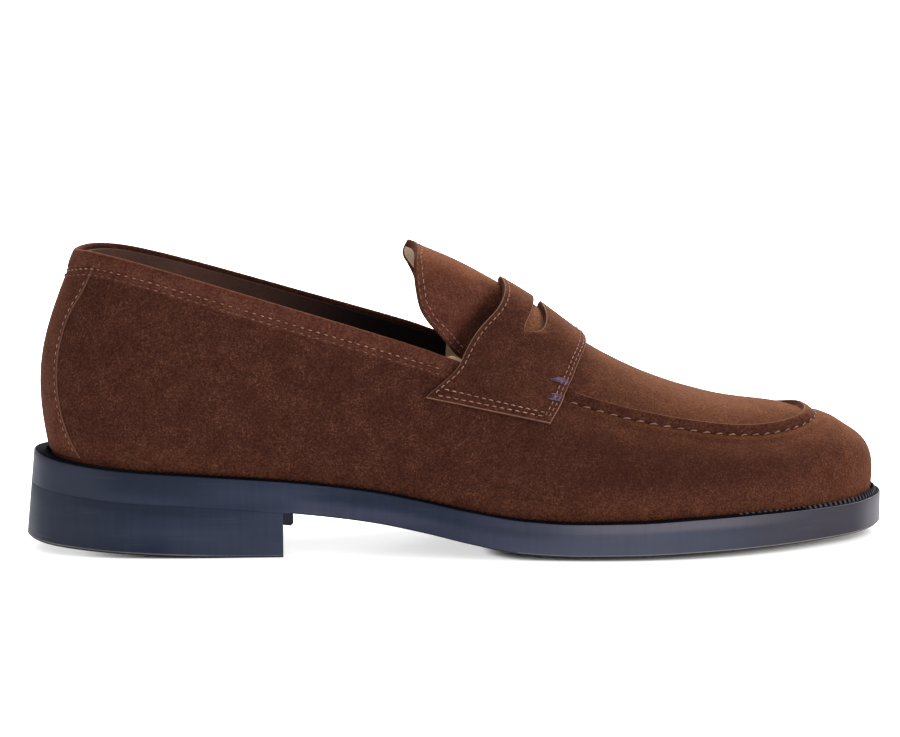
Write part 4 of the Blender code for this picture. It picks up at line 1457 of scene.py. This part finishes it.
# Tongue stitches: share of the tongue that they run down, a row near its middle, insets from the edge,
# rounds of smoothing, and lift.
TONGUE_ROW_END = 0.86
TONGUE_MIDDLE = 6.6
TONGUE_INSETS = (0.9, 3.7)
TONGUE_SMOOTH = 6
TONGUE_THREAD_LIFT = 0.06
TONGUE_LINE_STEPS = 160


def tongue_stitches():
    row = tongue_row(np.linspace(TONGUE_ROW_END, 0.0, TONGUE_LINE_STEPS))
    edges = (tongue_spot(row, np.zeros_like(row)), tongue_spot(row[::-1], np.ones_like(row)))
    outline = np.concatenate([skin(*spot, tongue_lift(*spot)) for spot in edges])
    middle = skin(*tongue_spot(np.full(len(outline), TONGUE_MIDDLE), np.full(len(outline), 0.5)))
    ground = Ground(tongue)
    rows = []
    for inset in TONGUE_INSETS:
        points = inset_line(outline, middle, inset, ground)
        for _ in range(TONGUE_SMOOTH):
            points[1:-1] = (points[:-2] + points[1:-1] + points[2:]) / 3
        points, normals = ground.press(points)
        rows.append(stitch_row(points + normals * TONGUE_THREAD_LIFT, normals))
    return make_threads("tongue_stitches", rows, [DULL_THREAD, PALE_THREAD])


# Back strip

STRIP_STEPS = (48, 41)
STRIP_ROUND = 0.3
STRIP_INSET = 0.9
STRIP_STITCH_LONG = 1.5
STRIP_STITCH_START = 0.02
STRIP_THREAD = 0.18
STRIP_THREAD_LIFT = 0.04
STRIP_LINE_STEPS = 200
# Short step across the strip that gives its width there in millimetres.
STRIP_PROBE = 0.1


def strip_spot(t, v):
    """Place and t on the back strip: v from -1 to 1 across it."""
    return strip_reach(t) * v, t + 0 * v


def make_back_strip():
    v = np.linspace(-1, 1, STRIP_STEPS[1])[None, :]
    share = np.linspace(0, 1, STRIP_STEPS[0])[:, None]
    top_place = BACK_STRIP[-2, 1] * v
    top = t_below(top_place, band_deep(top_place) - STRIP_UNDER)
    place, t = strip_spot(BACK_STRIP[0, 0] + (top - BACK_STRIP[0, 0]) * share, v)
    shell = Shell()
    shell.grid(skin(place, t, BACK_STRIP_LIFT), skin(place, t, -BACK_STRIP_SUNK))
    materials = [SUEDE_STRIP, SUEDE_STRIP, STRIP_EDGE_AND_HIGHLIGHT]
    # The strip's rim and rounded edges take the edge colour, raw edge with painted highlight.
    return shell.make("back_strip", materials, round_mm=STRIP_ROUND, round_kind=RIM)


back_strip = make_back_strip()


def strip_stitches():
    t = np.linspace(BACK_STRIP[0, 0] + STRIP_STITCH_START, BACK_STRIP[-2, 0], STRIP_LINE_STEPS)
    rows = []
    for sign in (-1.0, 1.0):
        edge, inside = (skin(*strip_spot(t, np.full_like(t, v))) for v in (sign, (1 - STRIP_PROBE) * sign))
        spot = strip_spot(t, sign * (1 - STRIP_INSET / (apart(edge, inside) / STRIP_PROBE)))
        points = skin(*spot, BACK_STRIP_LIFT + STRIP_THREAD_LIFT)
        rows.append(stitch_row(points, last_normal(*spot), length=STRIP_STITCH_LONG))
    return make_threads("back_strip_stitches", rows, [PALE_THREAD], radius=STRIP_THREAD)


# Sole


def across_foot(rows, inset, spread):
    """Plan points across the foot at each row, from its outer edge to its inner edge."""
    outer_side = sole_edge(-rows, inset)[:, None, :]
    inner_side = sole_edge(rows, inset)[:, None, :]
    return outer_side + (inner_side - outer_side) * np.asarray(spread)[None, :, None]


def flared(points):
    """Sole points moved back by the flare that the heel's back has from the welt down."""
    x, z = points[..., 0], points[..., 2]
    moved = points.copy()
    moved[..., 0] -= HEEL_FLARE * np.clip(1 - x / HEEL_FLARE_END, 0, 1) * np.clip(1 - z / welt_top(x), 0, 1)
    return moved


EDGE_STEPS = 3000


def even_places(first, count):
    """Places spaced evenly along the sole's edge, from the first one to the toe, and the edge's length."""
    steps = int(EDGE_STEPS * (TOE_ROW - first) / TOE_ROW)
    fine = np.linspace(first, TOE_ROW, steps + 1)
    run = run_length(sole_edge(fine, np.zeros_like(fine)))
    return np.interp(np.linspace(0, run[-1], count), run, fine), run[-1]


# Cross-section of the welt's top: inset from the sole's edge as a share of the margin, and plain height.
WELT_PROFILE = (
    (0.0, -0.55), (0.03, -0.22), (0.09, -0.05), (0.18, 0.0), (0.30, 0.0),
)
WELT_BEVEL = 0.3
# Bead: millimetres out from the upper, and height as a share of the bead's own.
BEAD_PROFILE = (
    (2.3, -0.35), (2.05, -0.1), (1.75, 0.6), (1.4, 1.0), (1.0, 0.9), (0.65, 0.3), (0.35, -0.4),
)
BEAD_PITCH = 2.4
BEAD_COLUMNS = 8
BEAD_HIGH = 0.95
BEAD_LOW = 0.25
BEAD_NEAREST = 0.36
BEAD_TOE = 0.9
BEAD_TOE_ROWS = (10.5, 12.5)
BEAD_CROWN = 0.6
TOE_BEADS_ROW = 10.6
HIGHLIGHT_BEADS_ROW = 9.6
RIM_HIGHLIGHT_ROW = 7.6
WELT_SIDE, WELT_UPSIDE, HIGHLIGHT_BEAD, RIM_HIGHLIGHT = range(4)


def make_welt():
    _, length = even_places(-TOE_ROW, 3)
    places, _ = even_places(-TOE_ROW, int(length / BEAD_PITCH) * BEAD_COLUMNS + 1)
    swell = 0.5 - 0.5 * np.cos(2 * np.pi * np.arange(len(places)) / BEAD_COLUMNS)
    tallest = BEAD_HIGH * (1 + BEAD_TOE * ramp(abs(places), *BEAD_TOE_ROWS))
    bead = tallest * (BEAD_LOW + (1 - BEAD_LOW) * swell)
    to_upper = margin(places)
    insets = [to_upper * share for share, _ in WELT_PROFILE]
    insets += [np.maximum(to_upper - out, to_upper * BEAD_NEAREST) for out, _ in BEAD_PROFILE]
    insets.append(to_upper + WELT_SEAT)
    heights = [np.full_like(places, high) for _, high in WELT_PROFILE]
    heights += [high * bead if high > 0 else np.full_like(places, high) for _, high in BEAD_PROFILE]
    heights.append(np.zeros_like(places))
    plan = np.stack([sole_edge(places, inset) for inset in insets])
    top = raised(plan, welt_top, np.stack(heights))
    drop = np.array((WELT_THICK, WELT_THICK, WELT_THICK - WELT_BEVEL))[:, None]
    ring = np.concatenate([top, raised(plan[[-1, 0, 0]], welt_top, -drop), top[:1]])
    kind = np.full((len(ring) - 1, len(places) - 1), WELT_UPSIDE)
    kind[[0, 1, -3, -2, -1]] = WELT_SIDE
    row, crown = abs(places[1:]), (swell[1:] + swell[:-1]) / 2 > BEAD_CROWN
    first = len(WELT_PROFILE) + 1
    # Painted highlight on the bead crowns round the forefoot and the toe.
    kind[first, crown & (row > TOE_BEADS_ROW)] = HIGHLIGHT_BEAD
    kind[first + 1:first + 3, crown & (row > HIGHLIGHT_BEADS_ROW)] = HIGHLIGHT_BEAD
    # Painted highlight along the welt's rounded rim on the forefoot.
    kind[1, row > RIM_HIGHLIGHT_ROW] = RIM_HIGHLIGHT
    body = Skin()
    body.grid(flared(ring), kind)
    return body.make("welt", [WELT, WHEELING_AND_SHADE, BEAD_TOP_HIGHLIGHT, WELT_RIM_HIGHLIGHT])


welt = make_welt()

SOLE_STEPS = 260
TOP_EASE = 0.28
TOP_BAND = 0.3
SOLE_EDGE_HIGHLIGHT_FROM = 165.0
FREE_RUN = 4.0
# Lower edge of the outsole: inset and height where it is free, then the same two over the heel.
OUTSOLE_EDGE = (
    (0.0, 1.15, 0.0, 1.15), (0.02, 0.85, 0.0, 0.8), (-0.06, 0.72, 0.0, 0.6),
    (0.0, 0.55, 0.0, 0.4), (0.35, 0.2, 0.0, 0.2), (0.8, 0.04, 0.05, 0.04),
)
TREAD_SPREAD = np.array((0, 0.02, 0.05, 0.12, 0.2, 0.31, 0.4, 0.5, 0.6, 0.69, 0.8, 0.88, 0.95, 0.98, 1))
TREAD_SIDE = 0.12
TREAD_END = 0.8
FOREFOOT_STUDS = (152.0, 288.0)
HEEL_STUDS = (9.0, 79.0)
STUD_BORDER = 0.1
SOLE_SIDE, HIGHLIGHT_LINE, PLAIN_TREAD, STUD_TREAD = range(4)


def stud_field(rows, spread, between):
    """Finish of the tread's faces: studs inside a plain border."""
    x, across = sole_x(rows)[1:, None], (spread[1:] + spread[:-1])[None, :] / 2
    inside = (x > between[0]) & (x < between[1]) & (abs(across - 0.5) < 0.5 - STUD_BORDER)
    return np.where(inside, STUD_TREAD, PLAIN_TREAD)


def joint(x):
    """Height of the outsole's top, under the welt."""
    return welt_top(x) - WELT_THICK - FIT_GAP + TOP_EASE


def free_edge(places):
    """1 where the outsole's lower edge is free, and 0 over the heel."""
    return ramp(sole_x(places), HEEL_BREAST_X, HEEL_BREAST_X + FREE_RUN)


def make_outsole():
    rows, _ = even_places(0.0, SOLE_STEPS)
    places = both_sides(rows)
    free = free_edge(places)
    edge = sole_edge(places, np.zeros_like(places))
    x = edge[..., 0]
    side = [raised(edge, joint, high) for high in (0.0, -TOP_BAND)]
    side.append(at_height(edge, (joint(x) + side_bottom(x)) / 2))
    for inset, high, heel_inset, heel_high in OUTSOLE_EDGE:
        plan = sole_edge(places, heel_inset + (inset - heel_inset) * free)
        side.append(raised(plan, side_bottom, heel_high + (high - heel_high) * free))
    kinds = np.full((len(side) - 1, len(places) - 1), SOLE_SIDE)
    # Painted highlight along the lower edge of the forefoot's side.
    kinds[4:6, sole_x(places)[1:] >= SOLE_EDGE_HIGHLIGHT_FROM] = HIGHLIGHT_LINE
    kinds[6:, free[1:] >= 0.5] = PLAIN_TREAD
    body = Skin()
    body.grid(flared(np.stack(side)), kinds)
    inset, high, heel_inset, _ = OUTSOLE_EDGE[-1]
    plan = across_foot(rows, heel_inset + (inset - heel_inset) * free_edge(rows), TREAD_SPREAD)
    x = plan[..., 0]
    slope = np.clip(np.minimum(TREAD_SPREAD, 1 - TREAD_SPREAD) / TREAD_SIDE, 0, 1)[None, :]
    end = np.minimum(1, np.minimum(rows, TOE_ROW - rows)[:, None] / TREAD_END)
    lowest = side_bottom(x) + high + (tread(x) - side_bottom(x) - high) * slope * end
    body.grid(flared(at_height(plan, lowest)), stud_field(rows, TREAD_SPREAD, FOREFOOT_STUDS))
    plan = across_foot(rows, np.zeros_like(rows), TREAD_SPREAD)
    body.grid(flared(raised(plan, joint, 0.0)), SOLE_SIDE)
    return body.make("outsole", [SOLE_RUBBER, SOLE_EDGE_HIGHLIGHT, TREAD, STUDS])


outsole = make_outsole()

# Side of the heel: inset from the edge, share of the way down, and finish of the band above; the highlight
# line near its foot is a painted highlight.
HEEL_SIDE = (
    (0.08, 0.0, SOLE_SIDE), (0.0, 0.006, SOLE_SIDE), (0.0, 0.35, SOLE_SIDE), (0.0, 0.7, SOLE_SIDE),
    (0.0, 0.945, SOLE_SIDE), (0.03, 0.955, HIGHLIGHT_LINE), (-0.06, 0.968, HIGHLIGHT_LINE),
    (0.02, 0.982, PLAIN_TREAD), (0.35, 0.995, PLAIN_TREAD), (0.6, 1.0, PLAIN_TREAD),
)
HEEL_STEPS = 90
HEEL_SPREAD = np.linspace(0, 1, 17)
FINE_ROWS = np.linspace(0, TOE_ROW, 1301)
BREAST_ROW = np.interp(HEEL_BREAST_X, sole_x(FINE_ROWS), FINE_ROWS)


def make_heel():
    rows = np.linspace(0, BREAST_ROW, HEEL_STEPS)
    places = both_sides(rows)
    body = Skin()

    def lower(plan, share):
        """Point under a plan point, share of the way from the heel's top to its foot."""
        x = plan[..., 0]
        top = side_bottom(x) - FIT_GAP + TOP_EASE
        foot = HEEL_BACK_LIFT * np.clip(1 - x / HEEL_LIFT_END, 0, 1) ** HEEL_LIFT_POWER
        return flared(at_height(plan, top + (foot - top) * share))

    ring = [lower(sole_edge(places, np.full_like(places, inset)), share) for inset, share, _ in HEEL_SIDE]
    body.grid(np.stack(ring), np.array([kind for _, _, kind in HEEL_SIDE[1:]])[:, None])
    spread = HEEL_SPREAD
    for (inset, share, _), kind in (
        (HEEL_SIDE[0], SOLE_SIDE), (HEEL_SIDE[-1], stud_field(rows, spread, HEEL_STUDS)),
    ):
        body.grid(lower(across_foot(rows, np.full_like(rows, inset), spread), share), kind)
    breast = [
        lower(across_foot(rows[-1:], np.array([inset]), spread)[0], share) for inset, share, _ in HEEL_SIDE
    ]
    body.grid(np.stack(breast), SOLE_SIDE)
    return body.make("heel", [SOLE_RUBBER, SOLE_EDGE_HIGHLIGHT, TREAD, STUDS])


heel = make_heel()

# Outline of the small step at the top of the heel's breast: millimetres ahead of it and below the outsole.
HEEL_LIP = (
    (0.05, 0.05), (HEEL_LIP_REACH - 0.4, 0.05), (HEEL_LIP_REACH, 0.45),
    (HEEL_LIP_REACH, HEEL_LIP_HIGH - 0.9), (HEEL_LIP_REACH - 0.9, HEEL_LIP_HIGH),
    (0.05, HEEL_LIP_HIGH), (0.05, 0.05),
)
HEEL_LIP_SPREAD = np.linspace(0.004, 0.996, 25)


def make_heel_lip():
    line = across_foot(np.array([BREAST_ROW]), np.array([0.0]), HEEL_LIP_SPREAD)[0]
    rings = np.stack([raised(line + (reach, 0.0, 0.0), side_bottom, -drop) for reach, drop in HEEL_LIP])
    body = Skin()
    body.grid(rings)
    for end in (0, -1):
        middle = rings[:-1, end].mean(0)
        body.grid(np.stack([rings[:, end], np.broadcast_to(middle, rings[:, end].shape)]))
    return body.make("heel_lip", [TREAD])


heel_lip = make_heel_lip()

# Edge of the insole: inset and height.
INSOLE_EDGE = ((0.0, 0.0), (0.0, 2.0), (0.35, 2.7), (1.1, 3.0))
INSOLE_STEPS = 140
INSOLE_SPREAD = np.linspace(0, 1, 25)


def make_insole():
    rows, _ = even_places(0.0, INSOLE_STEPS)
    places = both_sides(rows)
    gap = WALL + 2 * FIT_GAP
    body = Skin()
    ring = [
        raised(sole_edge(places, margin(places) + gap + inset), welt_top, FIT_GAP + high)
        for inset, high in INSOLE_EDGE
    ]
    body.grid(np.stack(ring))
    for inset, high in (INSOLE_EDGE[0], INSOLE_EDGE[-1]):
        plan = across_foot(rows, margin(rows) + gap + inset, INSOLE_SPREAD)
        body.grid(raised(plan, welt_top, FIT_GAP + high))
    return body.make("insole", [TAN_LINING])


insole = make_insole()

# Every piece with the solids that it stands for and the slot of its finish.
PIECES = (
    (upper, ("upper",), "suede"),
    (quarter_lining, (), "suede"),
    (vamp_lining, (), "insole_leather"),
    (strap, ("strap",), "suede_overlay"),
    (tongue, ("tongue",), "suede"),
    (back_strip, ("back_strip",), "suede_overlay"),
    (collar_stitches(), (), "suede"),
    (apron_stitches(), (), "suede"),
    (strap_stitches(), (), "suede_overlay"),
    (bar_tacks(), (), "suede_overlay"),
    (tongue_stitches(), (), "suede"),
    (strip_stitches(), (), "suede_overlay"),
    (welt, ("welt",), "welt_leather"),
    (outsole, ("outsole",), "sole_rubber"),
    (heel, ("heel",), "sole_rubber"),
    (heel_lip, (), "sole_rubber"),
    (insole, ("insole",), "insole_leather"),
)
for piece, nodes, slot in PIECES:
    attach(piece, "root")
    if nodes:
        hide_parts(*nodes)


# Stage: pale floor that glows with painted light, less near the shoe as a painted contact shadow, soft light
# from above, camera at the photograph's angle

WHITE = (1.0, 1.0, 1.0)
FLOOR_REACH = 14.0
FLOOR_TONES = ((0.3, (0.95,) * 3), (0.7, (0.97,) * 3))
FLOOR_CLOUD = 900.0
# Strength of the floor's painted glow.
FLOOR_PAINTED_GLOW = 0.6
# The floor's glow is painted light, and it glows less close to the shoe, as a painted contact shadow: how
# near, and the shares of open sky between which it changes.
PAINTED_SHADOW_NEAR = 0.003
PAINTED_SHADOW_OPEN = (0.1, 0.65)
# Lights: place, what they point at, size, watts and colour.
LIGHTS = {
    "key": ((0.32, 0.76, 0.78), (0.03, 0.0, 0.04), (0.9, 0.9), 36.0, WHITE),
    "fill": ((0.95, -0.62, 0.14), (0.08, -0.02, 0.03), (0.7, 0.4), 8.0, (1.0, 0.92, 0.82)),
}
SKY_STRENGTH = 0.98
CAMERA_PLACE = Vector((-0.11415, -1.15013, 0.22329))
CAMERA_LOOK = Vector((0.0951, 0.9855, -0.1408))
CAMERA_LENS = 134.43
CAMERA_SENSOR = 36.0
CAMERA_CLIP = (0.01, 100.0)


def make_floor():
    n = Nodes("pale_floor", 0.2, Specular_IOR_Level=0.4, Emission_Color=opaque(WHITE))
    # Painted glow that dims by occlusion near the shoe, a painted contact shadow.
    occlusion = n.new("ShaderNodeAmbientOcclusion", samples=8)
    occlusion.inputs["Distance"].default_value = PAINTED_SHADOW_NEAR
    painted_glow = n.grey(occlusion.outputs["AO"], 0.0, FLOOR_PAINTED_GLOW, *PAINTED_SHADOW_OPEN)
    n.link(painted_glow, n.shader.inputs["Emission Strength"])
    material = n.finish(n.ramp(n.noise(FLOOR_CLOUD), *FLOOR_TONES))
    mesh = bpy.data.meshes.new("floor")
    corners = [(x * FLOOR_REACH, y * FLOOR_REACH, 0) for x, y in ((-1, -1), (1, -1), (1, 1), (-1, 1))]
    mesh.from_pydata(corners, [], [(0, 1, 2, 3)])
    mesh.materials.append(material)
    floor = put("floor", mesh)


def make_light(name, place, target, size, watts, colour):
    light = bpy.data.lights.new(name, "AREA")
    light.shape = "RECTANGLE"
    light.size, light.size_y = size
    light.energy = watts
    light.color = colour
    put(name, light, place, Vector(target) - Vector(place))


def make_camera():
    camera = bpy.data.cameras.new("camera")
    camera.sensor_fit = "HORIZONTAL"
    camera.sensor_width = CAMERA_SENSOR
    camera.lens = CAMERA_LENS
    camera.clip_start, camera.clip_end = CAMERA_CLIP
    bpy.context.scene.camera = put("camera", camera, CAMERA_PLACE, CAMERA_LOOK)


make_floor()
for light_name, light_row in LIGHTS.items():
    make_light(light_name, *light_row)
make_camera()

world = bpy.data.worlds.new("soft_studio")
world.use_nodes = True
sky = world.node_tree.nodes["Background"]
sky.inputs["Color"].default_value = opaque(WHITE)
sky.inputs["Strength"].default_value = SKY_STRENGTH
bpy.context.scene.world = world
bpy.context.scene.view_settings.view_transform = "Standard"
